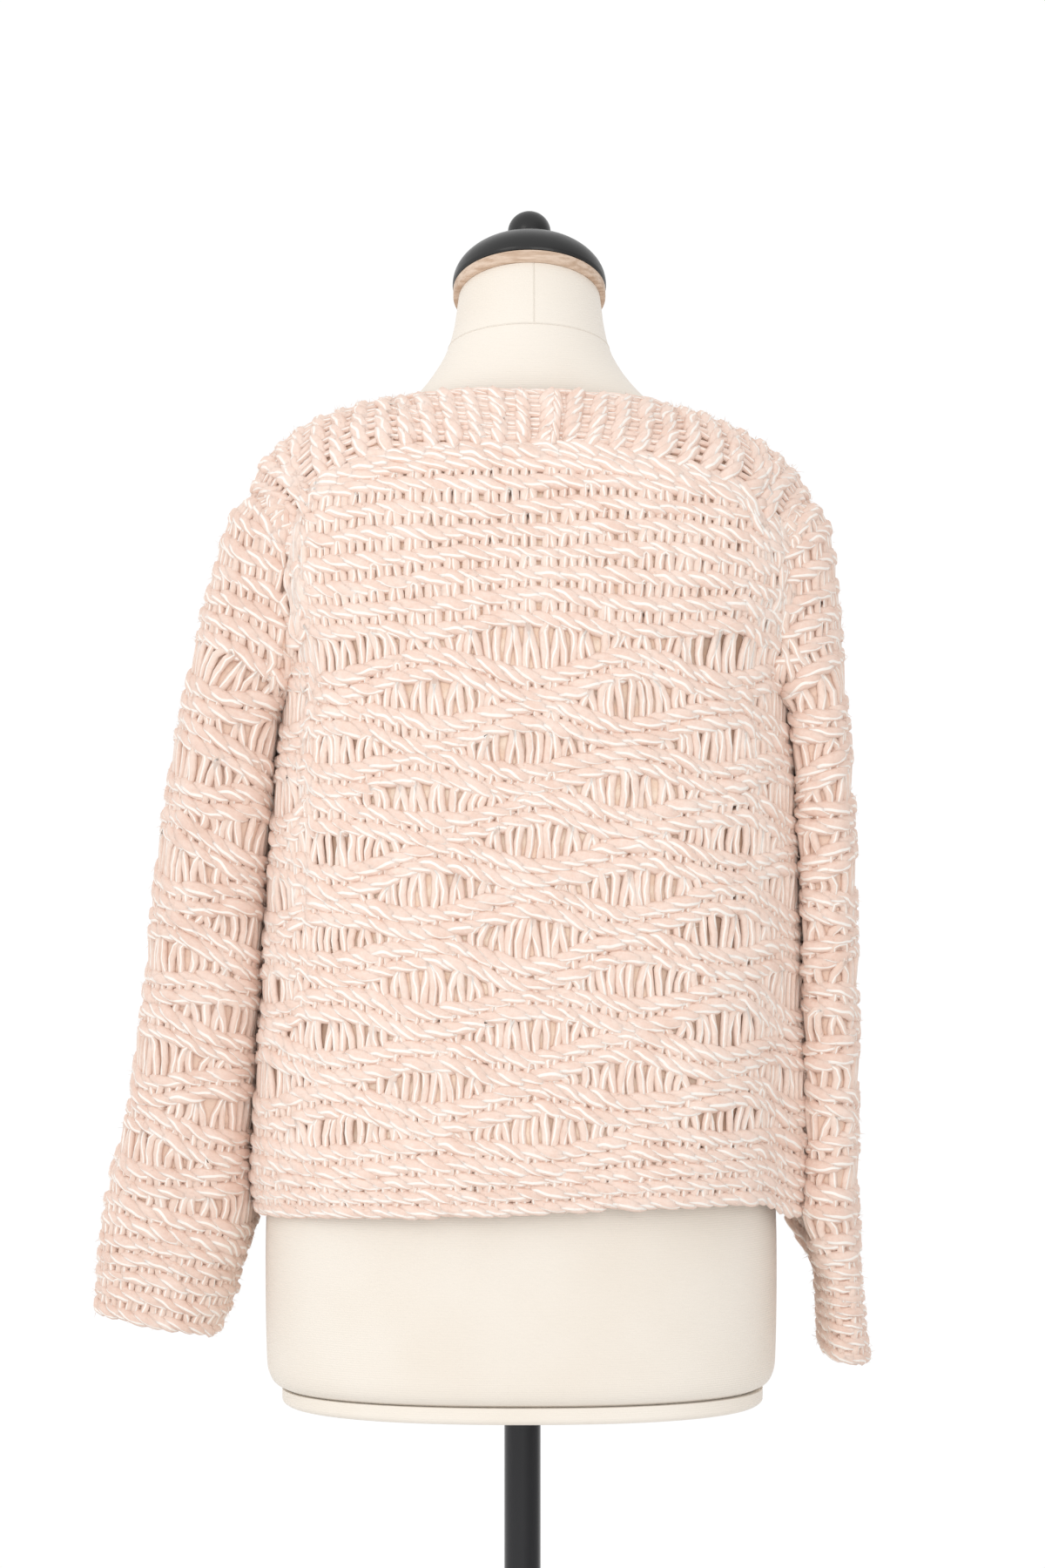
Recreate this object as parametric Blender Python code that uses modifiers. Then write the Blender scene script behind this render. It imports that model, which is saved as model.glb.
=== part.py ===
"""Chunky hand-knit pullover standing on a limbless dress form.

Metres, +Z up. The origin is the middle of the underside of the stand's foot, on the pole's axis.
The back of the garment looks along -Y, its front along +Y, and +X is to the right from behind.
Every knitted piece is a wall of its own: a plain inside, and garter ridges raised in its outer
points. Pieces stay a small seam gap apart.
"""
import math

import bmesh
import bpy
import numpy as np

# Cloth, and the gap that hard parts are kept apart by
SEAM_GAP = 0.0004
PART_GAP = 0.0003
WALL = 0.0050
RIDGE = 0.0035
WAVE_PERIOD = 0.145
LENS_SWING = 0.0050
PLAIN_PITCH = 0.0170
LENS_PITCH = 0.0350
PAIR_SPREAD = 0.0088
PAIR_VALLEY = 0.35
LAST_PAIR_SWING = 0.4
TOP_EDGE_RAISED = 0.4
LOW_EDGE_RAISED = 0.8

# Body of the garment
UNDERARM = 1.2240
ARMHOLE_MIDDLE = 1.2880
ARMHOLE_HALF_HEIGHT = 0.0640
ARMHOLE_HALF_DEPTH = 0.0680
ARMHOLE_SQUARENESS = 2.3
ARMHOLE_MARGIN = 0.0120
BAND_RIDGES = 22
BAND_ROWS = 4
BAND_WIDTH = 0.0500
BAND_LEAN = 0.75
PANEL_COLUMNS = BAND_RIDGES + 1
PANEL_TOP_RIDGES = 8
PANEL_LENS_ROWS = 11
PANEL_INNER_STEP = 8

# Sleeves
SLEEVE_WALL = 0.0040
SLEEVE_COLUMNS = 12
SLEEVE_TOP_RIDGES = 7
SLEEVE_LENS_ROWS = 12
SLEEVE_ROUNDNESS = 2.3
SLEEVE_WAVES = 2
SLEEVE_CAP_ROWS = 16
SLEEVE_CAP_STEP = 3
SLEEVE_INNER_STEP = 7

# Fine grid that the pieces are sampled from
FINE_COLUMNS = 121
FINE_BAND_ROWS = 17
FINE_PANEL_ROWS = 141
STEEPEST = 2.5

# Dress form and stand
FORM_SIDES = 32
FORM_BOTTOM = 0.7125
RIM_BOTTOM = 0.7000
RIM_REACH = 0.0045
NECK_TILT = math.radians(24)
NECK_TOP = (0.0050, 0.0220, 1.5000)
COLLAR_RADIUS = 0.0555
COLLAR_THICKNESS = 0.0085
COLLAR_EDGE = 0.0012
NECK_PARTS_SIDES = 28
CAP_RADIUS = 0.0560
CAP_HEIGHT = 0.0335
CAP_LIP = 0.0030
CAP_EDGE = 0.0010
KNOB_RADIUS = 0.0158
KNOB_CENTRE = 0.0110
KNOB_LOW_END = 33.4
POLE_RADIUS = 0.0132
POLE_SIDES = 24
FOOT_RADIUS = 0.1650
FOOT_SIDES = 32
FOOT_HEIGHT = 0.0120
FOOT_EDGE = 0.0040
HUB_RADIUS = 0.0260
HUB_HEIGHT = 0.0280
HUB_EDGE = 0.0040
HUB_FILLET = 0.0060


def table(columns, *rows):
    """A table with named columns, as a dictionary of arrays."""
    return dict(zip(columns.split(), np.array(rows, dtype=float).T))


# Inner face of the body, by height: half width, how far it reaches back and front, sideways middle
BODY = table(
    "height half_width back front middle squareness",
    (0.8380, 0.1895, 0.1330, 0.1350, 0.0040, 2.30),
    (0.8700, 0.1940, 0.1340, 0.1360, 0.0045, 2.30),
    (0.9300, 0.1925, 0.1330, 0.1365, 0.0060, 2.35),
    (1.0000, 0.1885, 0.1310, 0.1370, 0.0075, 2.40),
    (1.0800, 0.1860, 0.1285, 0.1400, 0.0090, 2.45),
    (1.1500, 0.1820, 0.1260, 0.1430, 0.0100, 2.50),
    (1.2200, 0.1770, 0.1240, 0.1440, 0.0100, 2.55),
    (1.2600, 0.1820, 0.1220, 0.1410, 0.0105, 2.60),
    (1.3000, 0.1880, 0.1175, 0.1330, 0.0110, 2.60),
    (1.3300, 0.1870, 0.1110, 0.1230, 0.0115, 2.60),
    (1.3600, 0.1800, 0.1020, 0.1110, 0.0120, 2.60),
    (1.3900, 0.1700, 0.0900, 0.0980, 0.0120, 2.60),
)

# Edges of the body, from the left side (0) to the right side (1): seam under the band and hem
EDGES = table(
    "along back_seam front_seam hem",
    (0.00, 1.3250, 1.3230, 0.8455),
    (0.07, 1.3380, 1.3300, 0.8425),
    (0.15, 1.3590, 1.3420, 0.8440),
    (0.28, 1.3790, 1.3530, 0.8470),
    (0.50, 1.3820, 1.3500, 0.8510),
    (0.65, 1.3760, 1.3500, 0.8550),
    (0.82, 1.3560, 1.3410, 0.8540),
    (0.92, 1.3370, 1.3290, 0.8410),
    (1.00, 1.3200, 1.3180, 0.8460),
)

# Shoulder line and neck edge, inner face, from the left shoulder point to the right one
SHOULDER = table(
    "along x back_depth back_height front_depth front_height",
    (0.00, -0.1910, 0.0000, 1.3530, 0.0000, 1.3530),
    (0.05, -0.1830, 0.0000, 1.3735, 0.0000, 1.3735),
    (0.12, -0.1600, 0.0000, 1.3965, 0.0000, 1.3965),
    (0.20, -0.1280, 0.0000, 1.4115, 0.0000, 1.4115),
    (0.27, -0.0980, 0.0000, 1.4185, 0.0000, 1.4185),
    (0.33, -0.0740, 0.0380, 1.4205, 0.0420, 1.4110),
    (0.41, -0.0370, 0.0610, 1.4215, 0.0680, 1.4010),
    (0.50, 0.0090, 0.0670, 1.4210, 0.0760, 1.3965),
    (0.59, 0.0550, 0.0610, 1.4190, 0.0690, 1.3980),
    (0.67, 0.0900, 0.0390, 1.4160, 0.0430, 1.4075),
    (0.73, 0.1130, 0.0000, 1.4120, 0.0000, 1.4120),
    (0.80, 0.1400, 0.0000, 1.4030, 0.0000, 1.4030),
    (0.88, 0.1700, 0.0000, 1.3870, 0.0000, 1.3870),
    (0.95, 0.1930, 0.0000, 1.3670, 0.0000, 1.3670),
    (1.00, 0.2030, 0.0000, 1.3480, 0.0000, 1.3480),
)

# Soft folds of the body: place along and down the panel, reach each way, and depth
FOLDS = table(
    "side along down reach_along reach_down depth",
    (-1, 0.86, 0.86, 0.045, 0.22, -0.0060),
    (-1, 0.94, 0.90, 0.040, 0.20, 0.0045),
    (-1, 0.10, 0.55, 0.050, 0.30, 0.0030),
    (-1, 0.16, 0.88, 0.050, 0.18, -0.0035),
    (-1, 0.72, 0.80, 0.050, 0.20, 0.0035),
    (1, 0.20, 0.80, 0.055, 0.25, -0.0060),
    (1, 0.34, 0.86, 0.050, 0.20, 0.0050),
    (1, 0.66, 0.84, 0.050, 0.22, 0.0045),
    (1, 0.80, 0.78, 0.055, 0.25, -0.0055),
)

# Sleeves, outermost points: outer and inner edge of each section seen from behind, half depth
LEFT_SLEEVE = table(
    "outer_x outer_z inner_x inner_z depth middle_y",
    (-0.1720, 1.3510, -0.1600, 1.2285, 0.0670, 0.000),
    (-0.2030, 1.3470, -0.1800, 1.2265, 0.0680, 0.000),
    (-0.2240, 1.3000, -0.1840, 1.1950, 0.0680, 0.000),
    (-0.2380, 1.2440, -0.1840, 1.1560, 0.0680, 0.000),
    (-0.2520, 1.1800, -0.1845, 1.1200, 0.0660, 0.002),
    (-0.2655, 1.0900, -0.1864, 1.0550, 0.0640, 0.004),
    (-0.2765, 0.9900, -0.1930, 0.9700, 0.0620, 0.006),
    (-0.2890, 0.9050, -0.1995, 0.8900, 0.0600, 0.008),
    (-0.3020, 0.8550, -0.2010, 0.8400, 0.0570, 0.010),
    (-0.3100, 0.8000, -0.2050, 0.7850, 0.0540, 0.012),
    (-0.3110, 0.7700, -0.2180, 0.7500, 0.0520, 0.012),
)
RIGHT_SLEEVE = table(
    "outer_x outer_z inner_x inner_z depth middle_y",
    (0.1860, 1.3465, 0.1760, 1.2290, 0.0665, 0.000),
    (0.2130, 1.3430, 0.1975, 1.2270, 0.0685, 0.000),
    (0.2270, 1.2900, 0.1990, 1.1950, 0.0730, 0.002),
    (0.2320, 1.2300, 0.2010, 1.1640, 0.0770, 0.004),
    (0.2365, 1.1700, 0.2040, 1.1350, 0.0790, 0.006),
    (0.2410, 1.0900, 0.2045, 1.0750, 0.0800, 0.008),
    (0.2430, 1.0000, 0.2055, 0.9950, 0.0800, 0.010),
    (0.2435, 0.9200, 0.2080, 0.9170, 0.0790, 0.012),
    (0.2440, 0.8450, 0.2095, 0.8440, 0.0770, 0.014),
    (0.2465, 0.7820, 0.2125, 0.7830, 0.0740, 0.016),
    (0.2520, 0.7290, 0.2155, 0.7430, 0.0700, 0.018),
)

# Covered board that closes the form below: how far its outline lies inside at each height
RIM = table(
    "height inset",
    (RIM_BOTTOM, 0.0060),
    (RIM_BOTTOM + 0.0020, 0.0020),
    (RIM_BOTTOM + 0.0040, 0.0000),
    (FORM_BOTTOM - PART_GAP, 0.0000),
)

# Dress form, by height: half width, half depth, sideways and front-to-back middle, forward tilt
FORM = table(
    "height half_width half_depth middle_x middle_y tilt squareness",
    (0.7125, 0.1690, 0.1090, -0.001, 0.0000, 0.0, 2.30),
    (0.7160, 0.1765, 0.1165, -0.001, 0.0000, 0.0, 2.30),
    (0.7230, 0.1815, 0.1210, -0.001, 0.0000, 0.0, 2.30),
    (0.7350, 0.1835, 0.1225, -0.001, 0.0000, 0.0, 2.30),
    (0.8000, 0.1845, 0.1235, -0.001, 0.0000, 0.0, 2.30),
    (0.8600, 0.1830, 0.1225, -0.001, 0.0000, 0.0, 2.30),
    (0.9200, 0.1730, 0.1140, 0.0000, 0.0010, 0.0, 2.25),
    (0.9800, 0.1520, 0.1010, 0.0000, 0.0020, 0.0, 2.20),
    (1.0400, 0.1370, 0.0920, 0.0010, 0.0030, 0.0, 2.15),
    (1.1000, 0.1370, 0.0960, 0.0020, 0.0050, 0.0, 2.15),
    (1.1600, 0.1450, 0.1080, 0.0030, 0.0080, 0.0, 2.20),
    (1.2200, 0.1520, 0.1160, 0.0040, 0.0090, 0.0, 2.30),
    (1.2700, 0.1560, 0.1110, 0.0050, 0.0070, 0.0, 2.35),
    (1.3100, 0.1590, 0.1010, 0.0060, 0.0050, 0.0, 2.35),
    (1.3450, 0.1580, 0.0890, 0.0060, 0.0030, 0.0, 2.30),
    (1.3700, 0.1470, 0.0790, 0.0060, 0.0020, 0.0, 2.25),
    (1.3900, 0.1280, 0.0660, 0.0060, -0.002, 0.0, 2.15),
    (1.4050, 0.1095, 0.0580, 0.0050, -0.003, 0.0, 2.05),
    (1.4180, 0.0925, 0.0550, 0.0050, -0.002, 2.0, 2.00),
    (1.4300, 0.0790, 0.0550, 0.0050, 0.0000, 5.0, 2.00),
    (1.4420, 0.0690, 0.0550, 0.0045, 0.0040, 9.0, 2.00),
    (1.4560, 0.0605, 0.0545, 0.0045, 0.0080, 14.0, 2.00),
    (1.4720, 0.0555, 0.0535, 0.0048, 0.0130, 19.0, 2.00),
    (1.5000, 0.0515, 0.0515, 0.0050, 0.0220, 24.0, 2.00),
)


def smooth(rows, column, key, at):
    """A named column at the given keys, on a curve through the rows that never overshoots."""
    x = rows[key]
    y = rows[column]
    step = np.diff(x)
    slope = np.diff(y) / step
    tangent = np.concatenate([slope[:1], (slope[:-1] + slope[1:]) / 2, slope[-1:]])
    turning = slope[:-1] * slope[1:] <= 0
    tangent[1:-1][turning] = 0
    limit = STEEPEST * np.minimum(np.abs(slope[:-1]), np.abs(slope[1:]))
    tangent[1:-1] = np.clip(tangent[1:-1], -limit, limit)
    at = np.clip(at, x[0], x[-1])
    i = np.clip(np.searchsorted(x, at) - 1, 0, len(step) - 1)
    t = (at - x[i]) / step[i]
    rise = t * t * (3 - 2 * t)
    start = t * (1 - t) ** 2 * step[i] * tangent[i]
    end = -t * t * (1 - t) * step[i] * tangent[i + 1]
    return y[i] * (1 - rise) + y[i + 1] * rise + start + end


def superellipse(angle, half_width, half_depth, squareness):
    """Points of a rounded oval: the powers of cosine and sine make its corners fuller."""
    c = np.cos(angle)
    s = np.sin(angle)
    x = half_width * np.sign(c) * np.abs(c) ** (2 / squareness)
    y = half_depth * np.sign(s) * np.abs(s) ** (2 / squareness)
    return x, y


def body_point(side, spread, height):
    """Inner face of the body; spread runs from 0 at the left seam to 1 at the right one."""
    column = "back" if side < 0 else "front"
    half_width = smooth(BODY, "half_width", "height", height)
    half_depth = smooth(BODY, column, "height", height)
    squareness = smooth(BODY, "squareness", "height", height)
    middle = smooth(BODY, "middle", "height", height)
    lift = np.abs(height - ARMHOLE_MIDDLE) / ARMHOLE_HALF_HEIGHT
    full = np.clip(1 - lift ** ARMHOLE_SQUARENESS, 0, 1)
    reach = ARMHOLE_HALF_DEPTH * full ** (1 / ARMHOLE_SQUARENESS)
    reach = np.where(height > UNDERARM, reach, 0)
    first = np.arcsin(np.clip(reach / half_depth, 0, 1) ** (squareness / 2))
    angle = first + (math.pi - 2 * first) * (1 - spread)
    x, y = superellipse(angle, half_width, half_depth, squareness)
    return np.stack([x + middle, side * (y + SEAM_GAP / 2), height], axis=-1)


def spaced_evenly(points, wanted):
    """For each row of points, the parameter at which each wanted share of its length is reached."""
    length = np.linalg.norm(np.diff(points, axis=1), axis=2).cumsum(axis=1)
    length = np.concatenate([np.zeros((len(points), 1)), length], axis=1)
    even = np.linspace(0, 1, points.shape[1])
    return np.array([np.interp(wanted, row / row[-1], even) for row in length])


def fold_depth(side, along, down):
    """Sum of the soft folds: each a bell along the panel and a longer bell down it."""
    depth = np.zeros_like(along)
    for i in np.flatnonzero(FOLDS["side"] == side):
        across = (along - FOLDS["along"][i]) / FOLDS["reach_along"][i]
        length = (down - FOLDS["down"][i]) / FOLDS["reach_down"][i]
        depth += FOLDS["depth"][i] * np.exp(-across ** 2 - length ** 2)
    return depth


def panel_grid(side):
    """Fine grid of a body panel, from the seam under the band (row 0) to the hem."""
    along = np.linspace(0, 1, FINE_COLUMNS)
    down = np.linspace(0, 1, FINE_PANEL_ROWS)[:, None]
    seam = smooth(EDGES, "back_seam" if side < 0 else "front_seam", "along", along)
    hem = smooth(EDGES, "hem", "along", along)
    height = seam + (hem - seam) * down
    first = body_point(side, np.broadcast_to(along, height.shape), height)
    spread = spaced_evenly(first, along)
    return body_point(side, spread, height)


def unit(vectors):
    """Vectors scaled to length one."""
    return vectors / np.maximum(np.linalg.norm(vectors, axis=-1, keepdims=True), 1e-12)


def band_grid(side, panel):
    """Fine grid of the band, a smooth patch from the shoulder and neck edge to the panel's top."""
    along = np.linspace(0, 1, FINE_COLUMNS)
    end = "back" if side < 0 else "front"
    height = smooth(SHOULDER, end + "_height", "along", along)
    depth = smooth(SHOULDER, end + "_depth", "along", along)
    top = np.stack([
        smooth(SHOULDER, "x", "along", along), side * (depth + SEAM_GAP / 2), height], axis=-1)
    foot = panel[0]
    reach = np.linalg.norm(foot - top, axis=1, keepdims=True)
    below = unit(panel[1] - panel[0])
    outward = np.zeros_like(top)
    outward[:, 1] = side
    open_neck = np.clip(depth / depth.max(), 0, 1)[:, None] ** 0.5
    above = unit(outward * (1 - BAND_LEAN * open_neck) + unit(foot - top) * open_neck)
    t = np.linspace(0, 1, FINE_BAND_ROWS)[:, None, None]
    rise = t * t * (3 - 2 * t)
    bend = t * (1 - t) ** 2 * above * reach - t * t * (1 - t) * below * reach
    return top * (1 - rise) + foot * rise + bend


def normals(points, outward_from):
    """Unit normals of a grid, turned away from the given middle line."""
    across = np.gradient(points, axis=1)
    down = np.gradient(points, axis=0)
    normal = unit(np.cross(across, down))
    flip = np.sign(np.sum(normal * (points - outward_from), axis=-1, keepdims=True).mean())
    return normal * flip


def sample(grid, row, column):
    """Values of a grid at fractional rows and columns, mixed from the four nearest ones."""
    row = np.clip(row, 0, grid.shape[0] - 1)
    column = np.clip(column, 0, grid.shape[1] - 1)
    i = np.minimum(row.astype(int), grid.shape[0] - 2)
    j = np.minimum(column.astype(int), grid.shape[1] - 2)
    a = (row - i)[..., None]
    b = (column - j)[..., None]
    upper = grid[i, j] * (1 - b) + grid[i, j + 1] * b
    lower = grid[i + 1, j] * (1 - b) + grid[i + 1, j + 1] * b
    return upper * (1 - a) + lower * a


def knit_rows(length, top_ridges, lens_rows):
    """Rows of a knitted panel: how far down each lies, how it swings, and how far it is raised.

    Plain garter ridges at the top, then lens rows, each of two ridges and a valley of dropped
    stitches, and plain ridges again down to the edge.
    """
    rows = []
    place = PLAIN_PITCH / 2
    for _ in range(top_ridges):
        rows.append((place, 0, 1))
        rows.append((place + PLAIN_PITCH / 2, 0, 0))
        place += PLAIN_PITCH
    middle = place - PLAIN_PITCH / 2 + LENS_PITCH / 4
    for k in range(lens_rows):
        swing = LENS_SWING * (-1 if k % 2 else 1)
        if k == lens_rows - 1:
            swing *= LAST_PAIR_SWING
        rows.append((middle, 0, 0))
        rows.append((middle + LENS_PITCH / 2 - PAIR_SPREAD / 2, swing, 1))
        rows.append((middle + LENS_PITCH / 2, swing, PAIR_VALLEY))
        rows.append((middle + LENS_PITCH / 2 + PAIR_SPREAD / 2, swing, 1))
        middle += LENS_PITCH
    rows.append((middle - LENS_PITCH / 4, 0, 0))
    place = rows[-1][0] + PLAIN_PITCH / 2
    while place < length - PLAIN_PITCH / 4:
        rows.append((place, 0, 1))
        rows.append((place + PLAIN_PITCH / 2, 0, 0))
        place += PLAIN_PITCH
    rows = np.array([row for row in rows if row[0] < length - PLAIN_PITCH / 4])
    first = np.array([[0, 0, TOP_EDGE_RAISED]])
    last = np.array([[length, 0, LOW_EDGE_RAISED]])
    return np.concatenate([first, rows, last])


def make_material(name, colour, roughness, metallic=0.0):
    """A Principled material of one colour."""
    material = bpy.data.materials.new(name)
    material.use_nodes = True
    shader = material.node_tree.nodes["Principled BSDF"]
    shader.inputs["Base Color"].default_value = (*colour, 1)
    shader.inputs["Roughness"].default_value = roughness
    shader.inputs["Metallic"].default_value = metallic
    return material


def make_object(name, points, faces, material, round_sides=True):
    """An object from points and faces, in the collection of the model."""
    mesh = bpy.data.meshes.new(name)
    mesh.from_pydata([tuple(p) for p in points], [], faces)
    mesh.validate()
    item = bpy.data.objects.new(name, mesh)
    MODEL.objects.link(item)
    mesh.materials.append(material)
    if round_sides:
        mesh.shade_smooth()
        mesh.set_sharp_from_angle(angle=math.radians(35))
    return item


def wall(name, inner, outer, inner_rows, closed, material):
    """A cloth wall between two grids. The inner grid keeps only some rows, so its side strips
    join one long inner edge to several short outer ones."""
    rows, columns = outer.shape[:2]
    kept = len(inner_rows)
    points = np.concatenate([outer.reshape(-1, 3), inner[inner_rows].reshape(-1, 3)])

    def out(i, j):
        return i * columns + j % columns

    def within(k, j):
        return rows * columns + k * columns + j % columns

    steps = columns if closed else columns - 1
    faces = []
    for j in range(steps):
        for i in range(rows - 1):
            faces.append((out(i, j), out(i + 1, j), out(i + 1, j + 1), out(i, j + 1)))
        for k in range(kept - 1):
            faces.append((within(k, j), within(k, j + 1), within(k + 1, j + 1), within(k + 1, j)))
        faces.append((out(0, j), out(0, j + 1), within(0, j + 1), within(0, j)))
        last = rows - 1
        faces.append((out(last, j + 1), out(last, j), within(kept - 1, j), within(kept - 1, j + 1)))
    if not closed:
        for j, turned in ((0, False), (columns - 1, True)):
            for k in range(kept - 1):
                strip = [out(i, j) for i in range(inner_rows[k], inner_rows[k + 1] + 1)]
                split = len(strip) // 2
                near = [(strip[n + 1], strip[n], within(k, j)) for n in range(split)]
                far = [(strip[n + 1], strip[n], within(k + 1, j)) for n in range(split, len(strip) - 1)]
                link = [(strip[split], within(k, j), within(k + 1, j))]
                for face in near + far + link:
                    faces.append(face[::-1] if turned else face)
    item = make_object(name, points, faces, material)
    settle_normals(item)
    return item


def settle_normals(item):
    """Turns all the faces of a closed mesh outward."""
    mesh = bmesh.new()
    mesh.from_mesh(item.data)
    bmesh.ops.recalc_face_normals(mesh, faces=mesh.faces)
    if mesh.calc_volume(signed=True) < 0:
        bmesh.ops.reverse_faces(mesh, faces=mesh.faces)
    mesh.to_mesh(item.data)
    mesh.free()


def held_to_side(points, side):
    """Keeps the points of a piece on its own side of the side seam and shoulder line."""
    points[..., 1] = side * np.maximum(side * points[..., 1], SEAM_GAP / 2)
    return points


def build_panel(name, side, panel, normal, material):
    """A body panel: rows follow the knit, so a lens row swings up and down along the panel."""
    length = np.linalg.norm(np.diff(panel[:, FINE_COLUMNS // 2], axis=0), axis=1).sum()
    rows = knit_rows(length, PANEL_TOP_RIDGES, PANEL_LENS_ROWS)
    along = np.linspace(0, 1, PANEL_COLUMNS)
    width = np.linalg.norm(np.diff(panel[FINE_PANEL_ROWS // 2], axis=0), axis=1).sum()
    wave = np.cos(2 * math.pi * (along - 0.5) * width / WAVE_PERIOD)
    down = (rows[:, :1] + rows[:, 1:2] * wave) / length
    start = SEAM_GAP / length
    down = start + (1 - start) * np.clip(down, 0, 1)
    row = down * (FINE_PANEL_ROWS - 1)
    column = np.broadcast_to(along * (FINE_COLUMNS - 1), row.shape)
    base = sample(panel, row, column)
    lift = unit(sample(normal, row, column))
    base += lift * fold_depth(side, np.broadcast_to(along, down.shape), down)[..., None]
    outer = base + lift * (WALL + RIDGE * rows[:, 2])[:, None, None]
    armhole_length = EDGES["back_seam"][0] - UNDERARM + ARMHOLE_MARGIN
    armhole = np.flatnonzero(down[:, 0] < armhole_length / length)
    below = range(armhole[-1], len(rows), PANEL_INNER_STEP)
    inner_rows = sorted(set(armhole[::2]) | set(below) | {len(rows) - 1})
    inner = held_to_side(base, side)
    outer = held_to_side(outer, side)
    return wall(name, inner, outer, inner_rows, False, material)


def build_band(name, side, band, normal, material):
    """A band strip: its ridges run across it, from the neck edge to the seam with the panel."""
    columns = 2 * BAND_RIDGES + 1
    along = np.linspace(0, 1, columns)
    raised = np.where(np.arange(columns) % 2 == 1, 1.0, 0.0)
    down = np.linspace(0, 1, BAND_ROWS)[:, None]
    row = down * (FINE_BAND_ROWS - 1) * np.ones(columns)
    row[-1] -= (FINE_BAND_ROWS - 1) * SEAM_GAP / BAND_WIDTH
    column = np.broadcast_to(along * (FINE_COLUMNS - 1), row.shape)
    base = sample(band, row, column)
    lift = unit(sample(normal, row, column))
    for edge in (base[-1], lift[-1]):
        edge[1::2] = (edge[0:-1:2] + edge[2::2]) / 2
    outer = base + lift * (WALL + RIDGE * raised)[None, :, None]
    inner = held_to_side(base, side)
    outer = held_to_side(outer, side)
    return wall(name, inner, outer, list(range(BAND_ROWS)), False, material)


def sleeve_point(rows, place, angle, inset):
    """A sleeve's face: each section is an oval whose width joins its outer and inner edge."""
    outer = np.stack([rows["outer_x"], np.zeros(len(rows["depth"])), rows["outer_z"]], axis=1)
    inner = np.stack([rows["inner_x"], np.zeros(len(rows["depth"])), rows["inner_z"]], axis=1)
    centre = (outer + inner) / 2
    run = np.concatenate([[0], np.linalg.norm(np.diff(centre, axis=0), axis=1).cumsum()])
    data = {"run": run, "depth": rows["depth"], "middle_y": rows["middle_y"]}
    for n, axis in enumerate("xyz"):
        data["outer_" + axis] = outer[:, n]
        data["inner_" + axis] = inner[:, n]
    at = place * run[-1]
    far = np.stack([smooth(data, "outer_" + a, "run", at) for a in "xyz"], axis=-1)
    near = np.stack([smooth(data, "inner_" + a, "run", at) for a in "xyz"], axis=-1)
    middle = (far + near) / 2
    half = np.linalg.norm(far - near, axis=-1) / 2
    direction = unit(far - near)
    x, y = superellipse(angle, half - inset, smooth(data, "depth", "run", at) - inset,
                        SLEEVE_ROUNDNESS)
    point = middle + direction * x[..., None]
    point[..., 1] += y + smooth(data, "middle_y", "run", at)
    return point, run[-1]


def build_sleeve(name, rows, material):
    """A sleeve: a tube with rows that follow the knit round it."""
    length = sleeve_point(rows, np.zeros(1), np.zeros(1), 0)[1]
    knit = knit_rows(length, SLEEVE_TOP_RIDGES, SLEEVE_LENS_ROWS)
    turn = np.linspace(0, 2 * math.pi, SLEEVE_COLUMNS, endpoint=False)
    wave = np.cos(SLEEVE_WAVES * turn)
    place = np.clip((knit[:, :1] + knit[:, 1:2] * wave) / length, 0, 1)
    angle = np.broadcast_to(turn, place.shape)
    raised = knit[:, 2][:, None] * np.ones(SLEEVE_COLUMNS)
    outer = sleeve_point(rows, place, angle, RIDGE * (1 - raised))[0]
    inner = sleeve_point(rows, place, angle, SLEEVE_WALL + RIDGE)[0]
    cap = range(0, SLEEVE_CAP_ROWS, SLEEVE_CAP_STEP)
    below = range(SLEEVE_CAP_ROWS + 2, len(knit), SLEEVE_INNER_STEP)
    inner_rows = sorted(set(cap) | set(below) | {len(knit) - 1})
    return wall(name, inner, outer, inner_rows, True, material)


def ring(values, sides):
    """One oval section of the dress form, tilted forward about the X axis."""
    height, half_width, half_depth, middle_x, middle_y, tilt, squareness = values
    angle = np.linspace(0, 2 * math.pi, sides, endpoint=False)
    x, y = superellipse(angle, half_width, half_depth, squareness)
    tilt = math.radians(tilt)
    return np.stack([
        middle_x + x, middle_y + y * math.cos(tilt), height - y * math.sin(tilt)], axis=-1)


def loft(name, rings, material):
    """A closed body through rings, from the lowest to the highest, with flat ends."""
    count, sides = rings.shape[:2]
    faces = [tuple(range(sides))[::-1], tuple((count - 1) * sides + j for j in range(sides))]
    for i in range(count - 1):
        for j in range(sides):
            near = i * sides + j
            far = i * sides + (j + 1) % sides
            faces.append((near, far, far + sides, near + sides))
    item = make_object(name, rings.reshape(-1, 3), faces, material)
    settle_normals(item)
    return item


def build_form(material):
    """Torso and neck of the dress form, one smooth covered body."""
    rings = np.array([ring(row, FORM_SIDES) for row in zip(*FORM.values())])
    return loft("form_torso", rings, material)


def build_rim(material):
    """Covered board that closes the form below, a little smaller than the torso."""
    half_width = FORM["half_width"][0] + RIM_REACH
    half_depth = FORM["half_depth"][0] + RIM_REACH
    squareness = FORM["squareness"][0]
    rings = []
    for height, inset in zip(*RIM.values()):
        section = (height, half_width - inset, half_depth - inset, 0, 0, 0, squareness)
        rings.append(ring(section, FORM_SIDES))
    return loft("form_bottom_board", np.array(rings), material)


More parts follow.
